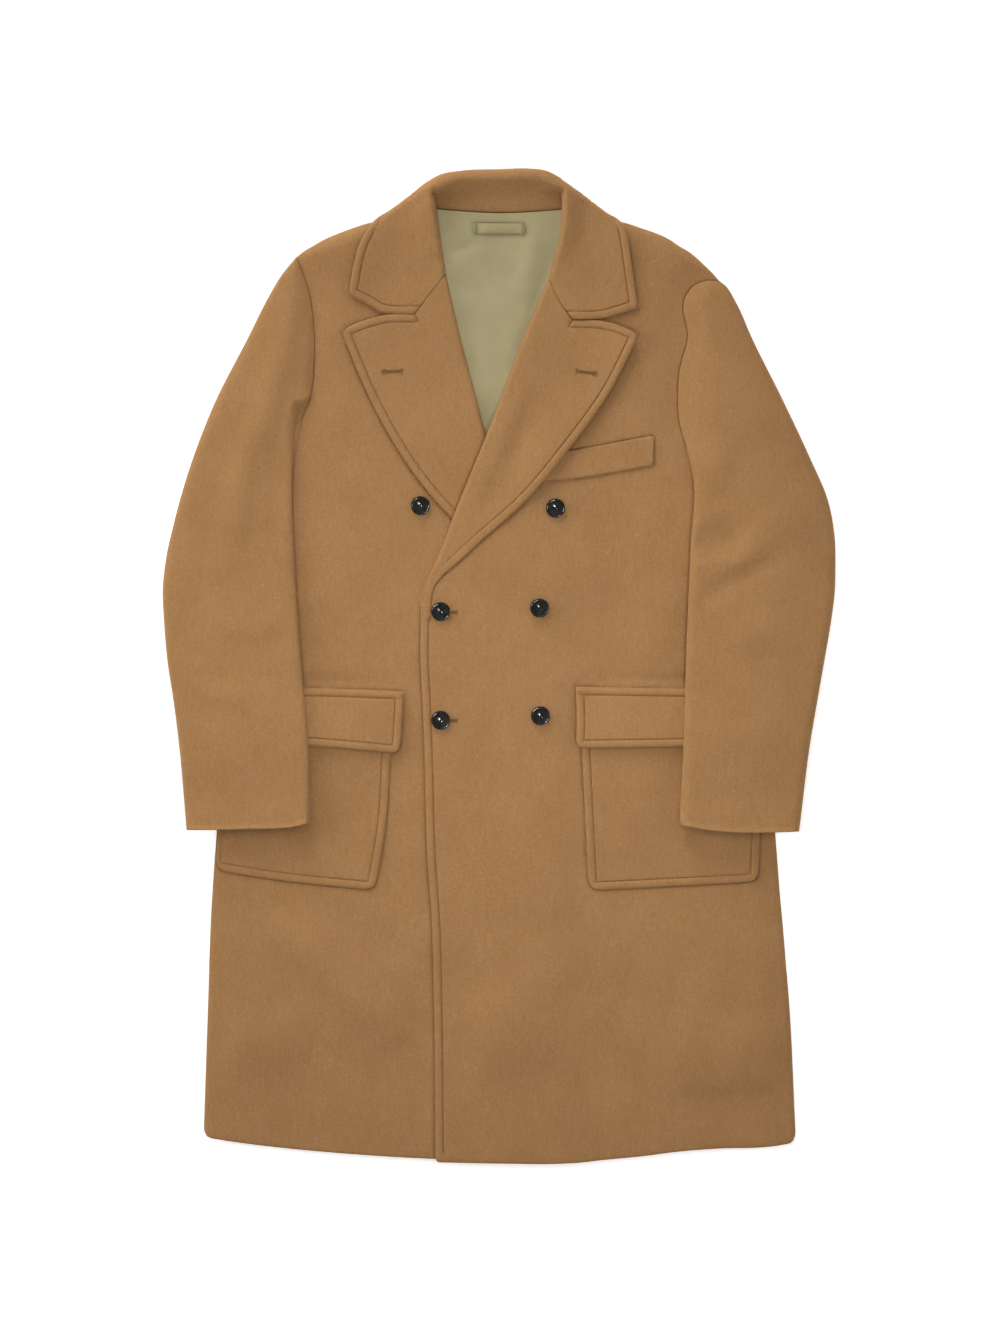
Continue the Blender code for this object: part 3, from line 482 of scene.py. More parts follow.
def distance(points: Points, line: Points) -> tuple[Points, Points]:
    """Distance from points to a line of many short pieces.

    Args:
        points: Places in the plane, one row each.
        line: Points of the line.

    Returns:
        The distance of each point, and the share of the line's length at its nearest place.
    """
    nearest = np.full(len(points), np.inf)
    share = np.zeros(len(points))
    length = run_length(line)
    for i, (a, b) in enumerate(zip(line[:-1], line[1:])):
        along = b - a
        t = np.clip((points - a) @ along / max(along @ along, 1e-12), 0.0, 1.0)
        off = np.hypot(points[:, 0] - a[0] - t * along[0], points[:, 1] - a[1] - t * along[1])
        closer = off < nearest
        nearest[closer] = off[closer]
        share[closer] = (length[i] + t[closer] * (length[i + 1] - length[i])) / length[-1]
    return nearest, share


def beside(points: Points, *names: str) -> Points:
    """Distance of points from the nearest of some pattern edges."""
    return np.minimum.reduce([distance(points, drawn(name))[0] for name in names])


def inside(points: Points, loop: Points) -> Points:
    """Whether each point lies inside a closed loop."""
    odd = np.zeros(len(points), bool)
    for a, b in zip(loop, np.roll(loop, -1, axis=0)):
        if a[1] == b[1]:
            continue
        spans = (a[1] > points[:, 1]) != (b[1] > points[:, 1])
        odd ^= spans & (points[:, 0] < a[0] + (points[:, 1] - a[1]) / (b[1] - a[1]) * (b[0] - a[0]))
    return odd


def lattice(loop: Points, spacing: float) -> Points:
    """Points of a triangular lattice that lie inside a loop."""
    low, high = loop.min(axis=0), loop.max(axis=0)
    rise = spacing * math.sqrt(3) / 2
    rows = np.arange(math.floor(low[1] / rise), math.ceil(high[1] / rise) + 1)
    cols = np.arange(math.floor(low[0] / spacing) - 1, math.ceil(high[0] / spacing) + 1)
    col, row = np.meshgrid(cols, rows)
    points = np.stack([(col + 0.5 * (row % 2)).ravel() * spacing, row.ravel() * rise], axis=1)
    return points[inside(points, loop)]


def outline_of(edges: list[Edge]) -> Points:
    """Closed outline of a panel, with its corners turned."""
    sides = [drawn(edge.name) for edge in edges]
    points: list[Points] = []
    for i, side in enumerate(sides):
        following = sides[(i + 1) % len(sides)]
        total = run_length(side)[-1]
        before, after = edges[i - 1].turn, edges[i].turn
        count = max(2, round(total / OUTLINE_STEP) + 1)
        run = stretch(side, before, total - after, count)
        points.extend(run if after else run[:-1])
        if after:
            leave = stretch(following, after, after, 1)[0]
            for t in np.linspace(0.0, 1.0, TURN_POINTS + 1)[1:-1]:
                points.append((1 - t) ** 2 * run[-1] + 2 * t * (1 - t) * side[-1] + t**2 * leave)
    loop = np.array(points)
    return loop if area_of(loop) > 0 else loop[::-1]


def cut_cloth(loop: Points, insets: tuple[float, ...], spacing: float,
              lines: tuple[Points, ...] = ()) -> tuple[Points, Points]:
    """Flat triangles that fill an outline, closely spaced along its edge.

    Args:
        loop: The outline.
        insets: Distances from the outline at which rows of points follow it.
        spacing: Spacing of the points further in.
        lines: More rows of points, such as along a crease.

    Returns:
        The points and the triangles, turned anticlockwise.
    """
    closed = np.vstack([loop, loop[:1]])
    spread = [lattice(loop, spacing)] + [line[inside(line, loop)] for line in lines]
    keep = [spread[0][distance(spread[0], closed)[0] > insets[-1] + KEEP_OFF * spacing]] + spread[1:]
    for inset in insets[1:]:
        ring = np.vstack([loop[-1:], loop, loop[:1]])
        row = shifted(ring, inset)[1:-1]
        row = row[inside(row, loop)]
        keep.append(row[distance(row, closed)[0] > inset - ROW_SLACK])
    points = np.vstack(keep)
    _, first = np.unique(np.round(points / MERGE).astype(int), axis=0, return_index=True)
    points = np.vstack([loop, points[np.sort(first)]])
    pairs = [(i, (i + 1) % len(loop)) for i in range(len(loop))]
    found = delaunay_2d_cdt([Vector(p) for p in points], pairs, [], 1, 1e-4)
    used, faces = np.unique(np.array(found[2]), return_inverse=True)
    faces = faces.reshape(-1, 3)
    points = np.array([tuple(p) for p in found[0]])[used]
    a, b, c = (points[faces[:, i]] for i in range(3))
    turned = (b[:, 0] - a[:, 0]) * (c[:, 1] - a[:, 1]) - (b[:, 1] - a[:, 1]) * (c[:, 0] - a[:, 0]) < 0
    faces[turned] = faces[turned][:, ::-1]
    return points, faces


def area_of(loop: Points) -> float:
    """Area inside a closed loop in square millimetres, below zero if it runs clockwise."""
    x, y = loop[:, 0], loop[:, 1]
    return 0.5 * float(np.dot(x, np.roll(y, -1)) - np.dot(y, np.roll(x, -1)))


def creases_on(panel: str, points: Points) -> Points:
    """Height of a panel's soft folds at some points."""
    height = np.zeros(len(points))
    for crease in CREASES.get(panel, ()):
        away, share = distance(points, curve_through(np.array(crease.path, float), CREASE_STEP))
        ends = np.sin(np.pi * np.clip(share, 0.0, 1.0)) ** CREASE_ENDS
        height += crease.height * ends * fade(away, crease.half_width)
    return height


@dataclass(frozen=True)
class Wave:
    """One of the long waves that keep laid cloth from lying dead flat."""

    length: float
    bearing: float
    phase: float
    height: float


WAVES = (Wave(118, 0.35, 0.4, 0.16), Wave(74, 1.25, 2.1, 0.12), Wave(151, 2.2, 4.0, 0.18),
         Wave(53, 2.75, 1.2, 0.08), Wave(41, 0.9, 5.1, 0.06))
SWAY = ((0.7, 63.0), (0.6, 47.0))   # how far the waves bend and over what length, across and along


def undulation(points: Points) -> Points:
    """Slight uneven waves of laid cloth."""
    total = np.zeros(len(points))
    (across, width), (along, length) = SWAY
    for wave in WAVES:
        run = points[:, 0] * math.cos(wave.bearing) + points[:, 1] * math.sin(wave.bearing)
        bend = across * np.sin(points[:, 0] / width + wave.phase) + along * np.sin(points[:, 1] / length)
        total += wave.height * np.sin(2 * np.pi * run / wave.length + wave.phase + bend)
    return total


class Pile:
    """Heights of the cloth laid so far, on a raster of square cells."""

    def __init__(self) -> None:
        """Start with nothing laid."""
        self.columns = np.arange(-HALF_WIDTH, HALF_WIDTH + CELL, CELL)
        self.rows = np.arange(-HALF_LENGTH, HALF_LENGTH + CELL, CELL)
        across, up = np.meshgrid(self.columns, self.rows)
        self.cells = np.stack([across.ravel(), up.ravel()], axis=1)
        self.tops: dict[str, Points] = {}

    def lay(self, name: str, loop: Points, height: Any) -> None:
        """Keep the upper surface of a piece.

        Args:
            name: The piece.
            loop: Its outline.
            height: Function that gives the height of its top at some points.
        """
        low, high = loop.min(axis=0), loop.max(axis=0)
        near = np.all((self.cells >= low) & (self.cells <= high), axis=1)
        near[near] = inside(self.cells[near], loop)
        top = np.zeros(len(self.cells))
        top[near] = height(self.cells[near])
        self.tops[name] = top.reshape(len(self.rows), len(self.columns))

    def rest(self, names: list[str], hold: float, droop: tuple[float, float]) -> Points:
        """Smooth height at which stiff cloth lies on some layers.

        Args:
            names: The layers.
            hold: How far past a layer's edge the cloth stays level before it softens.
            droop: Slopes at which it falls away after that, across and along the coat.

        Returns:
            A field of heights, never under the layers.
        """
        held = np.maximum.reduce([self.tops[name] for name in names])
        cells = max(1, round(hold / CELL))
        around = [(down, over) for down in range(-cells, cells + 1) for over in range(-cells, cells + 1)
                  if math.hypot(down, over) <= cells + 0.3]
        held = np.maximum.reduce([np.roll(held, shift, axis=(0, 1)) for shift in around])
        compass = [(0, 1), (1, 0), (1, 1), (1, -1), (1, 2), (2, 1), (2, -1), (1, -2)]
        for scale in (1, 2, 4, 8, 16):
            for down, over in compass:
                for sign in (-scale, scale):
                    slope = CELL * scale * math.hypot(droop[0] * over, droop[1] * down)
                    held = np.maximum(held, np.roll(held, (down * sign, over * sign), axis=(0, 1)) - slope)
        for reach in (cells // 3, cells // 3, cells - 2 * (cells // 3)):
            for axis in (0, 1):
                shifts = [np.roll(held, step, axis=axis) for step in range(-reach, reach + 1)]
                held = sum(shifts) / len(shifts)
        return held

    def at(self, field_: Points, points: Points) -> Points:
        """Values of a field at some points, between its cells."""
        x = np.clip((points[:, 0] - self.columns[0]) / CELL, 0, len(self.columns) - 1.001)
        y = np.clip((points[:, 1] - self.rows[0]) / CELL, 0, len(self.rows) - 1.001)
        i, j = y.astype(int), x.astype(int)
        u, v = y - i, x - j
        return ((1 - u) * (1 - v) * field_[i, j] + u * (1 - v) * field_[i + 1, j]
                + (1 - u) * v * field_[i, j + 1] + u * v * field_[i + 1, j + 1])


def linear(colour: str) -> tuple[float, float, float, float]:
    """Linear colour of an sRGB hex value."""
    srgb = [int(colour[i:i + 2], 16) / 255 for i in (1, 3, 5)]
    return (*(c / 12.92 if c <= 0.04045 else ((c + 0.055) / 1.055) ** 2.4 for c in srgb), 1.0)


def feed(tree: bpy.types.NodeTree, node: bpy.types.Node, inputs: dict[Any, Any]) -> None:
    """Set a node's sockets.

    Args:
        tree: The material's nodes.
        node: The node.
        inputs: What goes into each socket, a value or another node's output.
    """
    for key, value in inputs.items():
        if isinstance(value, bpy.types.NodeSocket):
            tree.links.new(value, node.inputs[key])
        else:
            node.inputs[key].default_value = value


def add_node(tree: bpy.types.NodeTree, kind: str, inputs: dict[Any, Any] | None = None,
             **settings: Any) -> bpy.types.Node:
    """Add a shader node with its settings and links.

    Args:
        tree: The material's nodes.
        kind: The node's type, less its first word.
        inputs: What goes into each socket, a value or another node's output.
        settings: The node's own properties.

    Returns:
        The new node.
    """
    node = tree.nodes.new(f"ShaderNode{kind}")
    for name, value in settings.items():
        setattr(node, name, value)
    feed(tree, node, inputs or {})
    return node


def per_metre(size_mm: float) -> float:
    """Scale of a pattern whose features have a size in millimetres."""
    return 1 / (size_mm * MM)


def set_ramp(node: bpy.types.Node, stops: list[tuple[float, str]]) -> None:
    """Set a colour ramp's stops, each a place from 0 to 1 and a hex colour."""
    ramp = node.color_ramp
    while len(ramp.elements) < len(stops):
        ramp.elements.new(0.5)
    for element, (place, colour) in zip(ramp.elements, stops):
        element.position = place
        element.color = linear(colour)


class Finish:
    """A material of the coat."""

    slot = ""

    def start(self, name: str) -> tuple[bpy.types.NodeTree, bpy.types.Node, bpy.types.NodeSocket]:
        """Make an empty material.

        Args:
            name: Its name.

        Returns:
            Its nodes, its shader and its Object coordinates.
        """
        self.material = bpy.data.materials.new(name)
        self.material.use_nodes = True
        tree = self.material.node_tree
        shader = tree.nodes["Principled BSDF"]
        return tree, shader, add_node(tree, "TexCoord").outputs["Object"]


@dataclass
class Melton(Finish):
    """Wool melton: woven, milled and brushed, so short fibres hide the weave and scatter light softly."""

    slot = "camel_wool"
    deep: str = "#987046"
    middle: str = "#a1784e"
    pale: str = "#aa8258"
    fleck: str = "#b38c65"
    stroke: str = "#8b643d"
    fibre_mm: float = 2.6       # finer in life, drawn as coarse as the render can show
    nap_mm: float = 11.0
    cloud_mm: float = 46.0
    fleck_mm: float = 5.0
    stroke_mm: float = 4.0

    def __post_init__(self) -> None:
        """Make the material."""
        tree, shader, place = self.start("camel_wool_melton")
        fibre = add_node(tree, "TexNoise", {
            "Vector": place, "Scale": per_metre(self.fibre_mm), "Detail": 3.0, "Roughness": 0.65})
        lean = add_node(tree, "VectorMath", {
            0: place, 1: (1.0, self.fibre_mm / self.nap_mm, 1.0)}, operation="MULTIPLY")
        nap = add_node(tree, "TexNoise", {
            "Vector": lean.outputs[0], "Scale": 0.8 / (self.fibre_mm * MM), "Detail": 2.0})
        cloud = add_node(tree, "TexNoise", {
            "Vector": place, "Scale": per_metre(self.cloud_mm), "Detail": 3.0})
        speck = add_node(tree, "TexNoise", {
            "Vector": place, "Scale": per_metre(self.fleck_mm), "Detail": 1.0})
        felt = add_node(tree, "Math", {0: fibre.outputs[0], 1: 0.74}, operation="MULTIPLY")
        felt = add_node(tree, "Math", {
            0: nap.outputs[0], 1: 0.26, 2: felt.outputs[0]}, operation="MULTIPLY_ADD")
        shade = add_node(tree, "Math", {
            0: cloud.outputs[0], 1: 0.3, 2: felt.outputs[0]}, operation="MULTIPLY_ADD")
        ramp = add_node(tree, "ValToRGB", {0: shade.outputs[0]})
        set_ramp(ramp, [(0.44, self.deep), (0.65, self.middle), (0.86, self.pale)])
        light = add_node(tree, "MapRange", {0: speck.outputs[0], 1: 0.7, 2: 0.78, 3: 0.0, 4: 0.4})
        tint = add_node(tree, "Mix", {
            0: light.outputs[0], 6: ramp.outputs[0], 7: linear(self.fleck)}, data_type="RGBA")
        hair = add_node(tree, "TexNoise", {
            "Vector": lean.outputs[0], "Scale": per_metre(self.stroke_mm), "Detail": 1.0})
        dark = add_node(tree, "MapRange", {0: hair.outputs[0], 1: 0.62, 2: 0.74, 3: 0.0, 4: 0.2})
        tint = add_node(tree, "Mix", {
            0: dark.outputs[0], 6: tint.outputs[2], 7: linear(self.stroke)}, data_type="RGBA")
        bump = add_node(tree, "Bump", {"Height": felt.outputs[0], "Strength": 0.55, "Distance": 0.9 * MM})
        feed(tree, shader, {"Base Color": tint.outputs[2], "Normal": bump.outputs[0], "Roughness": 0.96,
                            "IOR": 1.45, "Specular IOR Level": 0.12, "Sheen Weight": 0.32,
                            "Sheen Roughness": 0.45, "Sheen Tint": linear("#e2c39a")})


@dataclass
class LiningTwill(Finish):
    """Viscose twill lining: smooth yarns floating in fine diagonal ribs, with a soft sheen."""

    slot = "sage_lining"
    deep: str = "#a0956d"
    middle: str = "#a79b74"
    pale: str = "#aea37b"
    rib_mm: float = 1.3         # twill rib, drawn coarser than life so that it shows
    cloud_mm: float = 34.0

    def __post_init__(self) -> None:
        """Make the material."""
        tree, shader, place = self.start("sage_viscose_twill")
        rib = add_node(tree, "TexWave", {
            "Vector": place, "Scale": 0.314 / (self.rib_mm * MM) / 2, "Distortion": 0.6, "Detail": 1.0},
            bands_direction="DIAGONAL")
        cloud = add_node(tree, "TexNoise", {
            "Vector": place, "Scale": per_metre(self.cloud_mm), "Detail": 2.0})
        shade = add_node(tree, "Math", {
            0: rib.outputs[1], 1: 0.04, 2: cloud.outputs[0]}, operation="MULTIPLY_ADD")
        ramp = add_node(tree, "ValToRGB", {0: shade.outputs[0]})
        set_ramp(ramp, [(0.3, self.deep), (0.58, self.middle), (0.9, self.pale)])
        bump = add_node(tree, "Bump", {"Height": rib.outputs[1], "Strength": 0.06, "Distance": 0.2 * MM})
        feed(tree, shader, {"Base Color": ramp.outputs[0], "Normal": bump.outputs[0], "Roughness": 0.62,
                            "IOR": 1.5, "Specular IOR Level": 0.3, "Sheen Weight": 0.12,
                            "Sheen Roughness": 0.4})


@dataclass
class Horn(Finish):
    """Polished dark horn: turned and tumbled, so it shines and has faint brown streaks in its depth."""

    slot = "horn"
    deep: str = "#191918"
    middle: str = "#282725"
    pale: str = "#403b36"
    streak_mm: float = 5.0

    def __post_init__(self) -> None:
        """Make the material."""
        tree, shader, place = self.start("polished_horn")
        lean = add_node(tree, "VectorMath", {0: place, 1: (1.0, 0.4, 1.0)}, operation="MULTIPLY")
        streak = add_node(tree, "TexNoise", {
            "Vector": lean.outputs[0], "Scale": per_metre(self.streak_mm), "Detail": 4.0,
            "Distortion": 1.2})
        ramp = add_node(tree, "ValToRGB", {0: streak.outputs[0]})
        set_ramp(ramp, [(0.35, self.deep), (0.6, self.middle), (0.85, self.pale)])
        dull = add_node(tree, "MapRange", {0: streak.outputs[0], 1: 0.3, 2: 0.8, 3: 0.05, 4: 0.1})
        feed(tree, shader, {"Base Color": ramp.outputs[0], "Roughness": dull.outputs[0], "IOR": 1.54})


class ThreadColour(Enum):
    """Sewing threads of the coat."""

    CAMEL = "#7c5834"
    SILK = "#936a41"
    SAGE = "#a2986f"
    DARK = "#191615"


class SewingThread(Finish):
    """Core-spun polyester thread: two plies twisted together, matt, matched to the cloth."""

    def __init__(self, colour: ThreadColour, slot: str) -> None:
        """Make the material.

        Args:
            colour: The thread's colour.
            slot: Name of the slot that it belongs to, kept on the finish.
        """
        self.slot = slot
        tree, shader, place = self.start(f"thread_{colour.name.lower()}")
        ply = add_node(tree, "TexNoise", {"Vector": place, "Scale": per_metre(0.9), "Detail": 1.0})
        light = add_node(tree, "MapRange", {0: ply.outputs[0], 1: 0.3, 2: 0.7, 3: 0.8, 4: 1.15})
        tint = add_node(tree, "VectorMath", {
            0: linear(colour.value)[:3], "Scale": light.outputs[0]}, operation="SCALE")
        feed(tree, shader, {"Base Color": tint.outputs[0], "Roughness": 0.75})


def new_piece(name: str, places: Points, faces: list[Any]) -> bpy.types.Object:
    """Make a smooth mesh object at the origin.

    Args:
        name: Its name.
        places: Its points, in millimetres.
        faces: Its faces.

    Returns:
        The object.
    """
    mesh = bpy.data.meshes.new(name)
    mesh.from_pydata((places * MM).tolist(), [], faces)
    mesh.shade_smooth()
    item = bpy.data.objects.new(name, mesh)
    bpy.context.scene.collection.objects.link(item)
    return item


def shell(name: str, inner: Points, outer: Points, faces: Points) -> bpy.types.Object:
    """Closed cloth between an inner and an outer place for each of its points.

    Args:
        name: The new object's name.
        inner: Places on the cloth's inside, in millimetres.
        outer: Places on its outside.
        faces: Triangles, anticlockwise as seen from outside.

    Returns:
        The object, with its place in its mesh.
    """
    count = len(inner)
    sides = np.vstack([faces[:, [0, 1]], faces[:, [1, 2]], faces[:, [2, 0]]])
    code = sides[:, 0].astype(np.int64) * count + sides[:, 1]
    rim = sides[~np.isin(code, sides[:, 1].astype(np.int64) * count + sides[:, 0])]
    a, b = rim[:, 0], rim[:, 1]
    wall = np.vstack([np.stack([a, b, b + count], axis=1), np.stack([a, b + count, a + count], axis=1)])
    walls = np.vstack([faces[:, ::-1], faces + count, wall])
    return new_piece(name, np.vstack([inner, outer]), walls.tolist())


class Sheet:
    """Cloth piece of the coat, which takes the place of its solid."""

    node: str
    finish: str
    layers: list[str]
    loop: Points
    item: bpy.types.Object

    def dress(self, finishes: dict[str, Finish], extras: list[bpy.types.Object]) -> None:
        """Args:
            finishes: The coat's materials by name.
            extras: Pieces sewn on it; not used.
        """
        finish = finishes[self.finish]
        self.item.data.materials.append(finish.material)
        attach(self.item, "root")
        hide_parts(self.node)


@dataclass
class Panel(Sheet):
    """One cut piece of the coat: its outline, its cloth and the layers that it lies on."""

    node: str
    edges: list[Edge]
    wall: float
    spacing: float
    layers: list[str]
    finish: str
    hold: float = 9.0
    droop: tuple[float, float] = (0.10, 0.10)
    loft: float = 0.0           # air under the cloth
    crown: float = 0.0          # height that the air fills up to, where that is more
    closing: float = 40.0
    onto: list[str] = field(default_factory=list)
    taper: tuple[float, float] | None = None
    free: list[str] = field(default_factory=list)
    bank: tuple[str, float, float] | None = None    # edge that the panel climbs from, rise and reach
    nips: list[str] = field(default_factory=list)   # pieces, or edges of pieces, that dent the panel
    groove: float = GROOVE_DEPTH
    seams: list[str] = field(default_factory=list)  # sewn lines on the side that faces the floor
    hollow: float = 0.0         # how deep a fold is from below, over its height from above
    close: str = ""             # short line that closes the swelled band at the collar seam

    def named(self, *kinds: EdgeKind) -> list[Edge]:
        """Edges of some kinds."""
        return [edge for edge in self.edges if edge.kind in kinds]

    def away(self, points: Points, *kinds: EdgeKind) -> Points:
        """Distance of points from the nearest edge of some kinds."""
        names = [edge.name for edge in self.named(*kinds)]
        return beside(points, *names) if names else np.full(len(points), FAR)

    def off_row(self, points: Points) -> Points:
        """Distance of points from the nearest row of stitching inside the swelled edges."""
        insets = {side: beside(points, side.name) - side.band for side in self.named(EdgeKind.SWELLED)}
        off = np.abs(np.minimum.reduce([inset for side, inset in insets.items() if not side.through]))
        for side, inset in insets.items():
            if side.through:
                off = np.minimum(np.where(inset < 0.0, FAR, off), np.abs(inset))
        if self.close:
            off = np.minimum(np.where(self.past(points), FAR, off), beside(points, self.close))
        return off

    def past(self, points: Points) -> Points:
        """Whether points lie beyond the line that closes the swelled band."""
        if not self.close:
            return np.zeros(len(points), bool)
        start, foot = drawn(self.close)[[0, -1]]
        along = foot - start
        side = (points - start) @ np.array([-along[1], along[0]]) * np.sign(along[0])
        return (side > 0.0) & (np.linalg.norm(points - start, axis=1) < CLOSE_REACH)

    def close_rows(self) -> list[Points]:
        """Rows of mesh points that let the closed end of the swelled band show."""
        if not self.close:
            return []
        line = stretch(drawn(self.close), 0.0, BAND, CLOSE_POINTS)
        turn = np.linspace(0.0, 1.0, CLOSE_POINTS)[:, None]
        sweep = turn * (line[-1] - line[0]) / BAND + (1 - turn) * np.array([0.0, -1.0])
        sweep /= np.linalg.norm(sweep, axis=1, keepdims=True)
        return [row for offset in GROOVE_ROWS
                for row in (shifted(line, offset), line[0] + (BAND + offset) * sweep)]

    def settle(self, pile: Pile, outlines: dict[str, Points]) -> None:
        """Work out how the layers under the panel hold it up and where others dent it."""
        self.pile = pile
        self.loop = outline_of(self.edges)
        self.under = pile.rest(self.layers, self.hold, self.droop) if self.layers else None
        self.first = pile.rest(self.layers[:1], self.hold, self.droop) if self.layers else None
        self.mids = {side.name: pile.rest(list(side.onto) or self.onto or self.layers[:1],
                                          ROLL_HOLD, ROLL_DROOP)
                     for side in self.named(EdgeKind.ROLLED)}
        self.holes = [hole for hole in BUTTONHOLES if hole.panel == self.node]
        self.dents = [drawn(name) if name in EDGES else outlines[name] for name in self.nips]

    def thickness(self, points: Points) -> Points:
        """Wall of the cloth, thinned out where the panel tapers."""
        if self.taper is None:
            return np.full(len(points), self.wall)
        low, high = self.taper
        share = ease((points[:, 1] - low) / (high - low))
        return self.wall * (LEAST_TAPER + (1 - LEAST_TAPER) * share)

    def foot(self, points: Points) -> Points:
        """Height of the underside, before its edges are finished."""
        if not self.layers:
            return np.zeros(len(points))
        rest = self.pile.at(self.under, points)
        first = self.pile.at(self.first, points)
        if self.free:
            rest = first + (rest - first) * ease(beside(points, *self.free) / FREE_REACH)
        low = np.where(rest > SEAM, rest + SEAM, rest)
        if self.loft:
            air = np.ones(len(points))
            for side in self.edges:
                width = side.closing or self.closing * (side.kind in (EdgeKind.ROLLED, EdgeKind.SEWN))
                if width:
                    share = np.clip(beside(points, side.name) / width, 0.0, 1.0)
                    air = np.minimum(air, AIR_ROUND * quarter_round(share) + (1 - AIR_ROUND) * ease(share))
            room = np.maximum(self.crown - first, self.loft)
            room = room + undulation(points) * AIR_WAVES + creases_on(self.node, points)
            lift = first + SEAM + air * room
            low = higher(low, lift)
        for side in self.edges:
            if any(side.lift):
                gap, share = distance(points, drawn(side.name))
                spring = (side.lift[0] + (side.lift[1] - side.lift[0]) * share) * fade(gap, LIFT_REACH)
                low = low + spring * self.thickness(points) / self.wall
        if self.bank:
            name, rise, reach = self.bank
            share = np.clip(beside(points, name) / reach, 0.0, 1.0)
            ends = ease((BANK_HALF - np.abs(points[:, 0])) / BANK_FADE)
            low = low + rise * ends * (0.5 * share + 0.5 * quarter_round(share))
        return low

    def surfaces(self, points: Points) -> tuple[Points, Points]:
        """Underside and outside of the cloth with its edges finished.

        Args:
            points: Places in the plane.

        Returns:
            The two heights of each point.
        """
        low = self.foot(points)
        wall = self.thickness(points)
        slack = wall / self.wall
        high = low + wall
        if not self.loft:
            calm = ease(self.away(points, EdgeKind.HIDDEN, EdgeKind.PLAIN) / CALM_REACH)
            high = high + PRESSED * undulation(points) * calm
            high = high + np.maximum(creases_on(self.node, points), LEAST_WALL - wall)
        stitched = self.named(EdgeKind.SWELLED)
        if stitched:
            gaps = [distance(points, drawn(edge.name))[0] for edge in stitched]
            edge = np.minimum.reduce(gaps)
            inner = np.minimum.reduce([gap - side.band for gap, side in zip(gaps, stitched)])
            high += slack * DOME * np.sin(np.pi * np.clip(edge / BAND, 0.0, 1.0)) * (
                (inner < 0) & ~self.past(points))
            high -= slack * self.groove * fade(self.off_row(points), GROOVE_HALF)
            bend = 1 - quarter_round(edge / EDGE_ROUND)
            high -= ROUND_OVER * wall * bend
            low = low + ROUND_UNDER * wall * bend
            for gap, side in zip(gaps, stitched):
                high -= side.sunk * (1 - quarter_round(gap / SUNK_REACH))
        if self.nips:
            gap = np.minimum.reduce([distance(points, dent)[0] for dent in self.dents])
            high -= NIP_DEPTH * fade(gap, NIP_HALF)
        for hole in self.holes:
            high -= SLIT_DEPTH * (1 - ease(distance(points, hole.slit())[0] / SLIT_HALF))
        if self.hollow:
            low = low + self.hollow * np.maximum(creases_on(self.node, points), 0.0)
        for name in self.seams:
            low = low + NIP_DEPTH * fade(beside(points, name), NIP_HALF)
        for side in self.edges:
            if side.lip:
                high += side.lip * fade(beside(points, side.name), LIP_REACH)
        plain = self.away(points, EdgeKind.PLAIN)
        bend = 1 - quarter_round(plain / PLAIN_ROUND)
        high -= PLAIN_OVER * wall * bend
        low = low + PLAIN_UNDER * wall * bend
        sewn = self.away(points, EdgeKind.SEWN)
        high -= SEAM_DEPTH * fade(sewn, SEAM_HALF)
        tuck = self.away(points, EdgeKind.TUCKED)
        low = low + (wall - THIN) * (1 - quarter_round(tuck / TUCK_ROUND))
        for side in self.named(EdgeKind.ROLLED):
            rise = quarter_round(beside(points, side.name) / side.roll)
            base = self.pile.at(self.mids[side.name], points) + ROLL_GAP
            low = base + (low - base) * rise
            high = base + THIN + (high - base - THIN) * rise
        return low, np.maximum(high, low + LEAST_CLOTH)

    def build(self, pile: Pile, outlines: dict[str, Points]) -> bpy.types.Object:
        """Cut the panel, lay it on the pile and make its mesh.

        Args:
            pile: The cloth laid so far; the panel is added to it.
            outlines: Outlines of all panels by name.

        Returns:
            The panel's object.
        """
        self.settle(pile, outlines)
        insets = FINE_INSETS if self.named(EdgeKind.SWELLED) else PLAIN_INSETS
        lines = [line for hole in self.holes for line in hole.lines()]
        lines += [shifted(dent, offset) for dent in self.dents + [drawn(name) for name in self.seams]
                  for offset in NIP_ROWS]
        lines += [shifted(drawn(side.name), hand * (side.band + offset))
                  for side in self.edges if side.through for offset in GROOVE_ROWS for hand in (-1, 1)]
        lines += self.close_rows()
        points, faces = cut_cloth(self.loop, insets, self.spacing, tuple(lines))
        inner, outer = (np.column_stack([points, height]) for height in self.surfaces(points))
        self.item = shell(f"{self.node}_cloth", inner, outer, faces)
        pile.lay(self.node, self.loop, self.top)
        return self.item

    def top(self, points: Points) -> Points:
        """Height of the outside, without its edge finish."""
        height = self.foot(points) + self.thickness(points)
        return height if self.loft else height + np.maximum(creases_on(self.node, points), 0.0)

    def over(self, line: Points) -> Points:
        """Places in space of a line along the outside."""
        return np.column_stack([line, self.surfaces(line)[1]])

    def rows(self) -> list[Points]:
        """Rows of stitching inside the swelled edges, as places in space."""
        runs = []
        stitched = self.named(EdgeKind.SWELLED)
        for side in stitched:
            line = max((shifted(drawn(side.name), band) for band in (side.band, -side.band)),
                       key=lambda found: inside(found, self.loop).sum())
            line = stretch(line, 0.0, run_length(line)[-1], max(2, round(run_length(line)[-1])))
            gap = np.minimum.reduce([distance(line, drawn(other.name))[0] - other.band
                                     for other in ([side] if side.through else stitched)])
            line = line[inside(line, self.loop) & (gap > -STITCH_SLACK)]
            if len(line) > LEAST_ROW:
                runs.append(self.over(line))
        if self.close:
            runs.append(self.over(stretch(drawn(self.close), 0.0, BAND, CLOSE_POINTS)))
        return runs


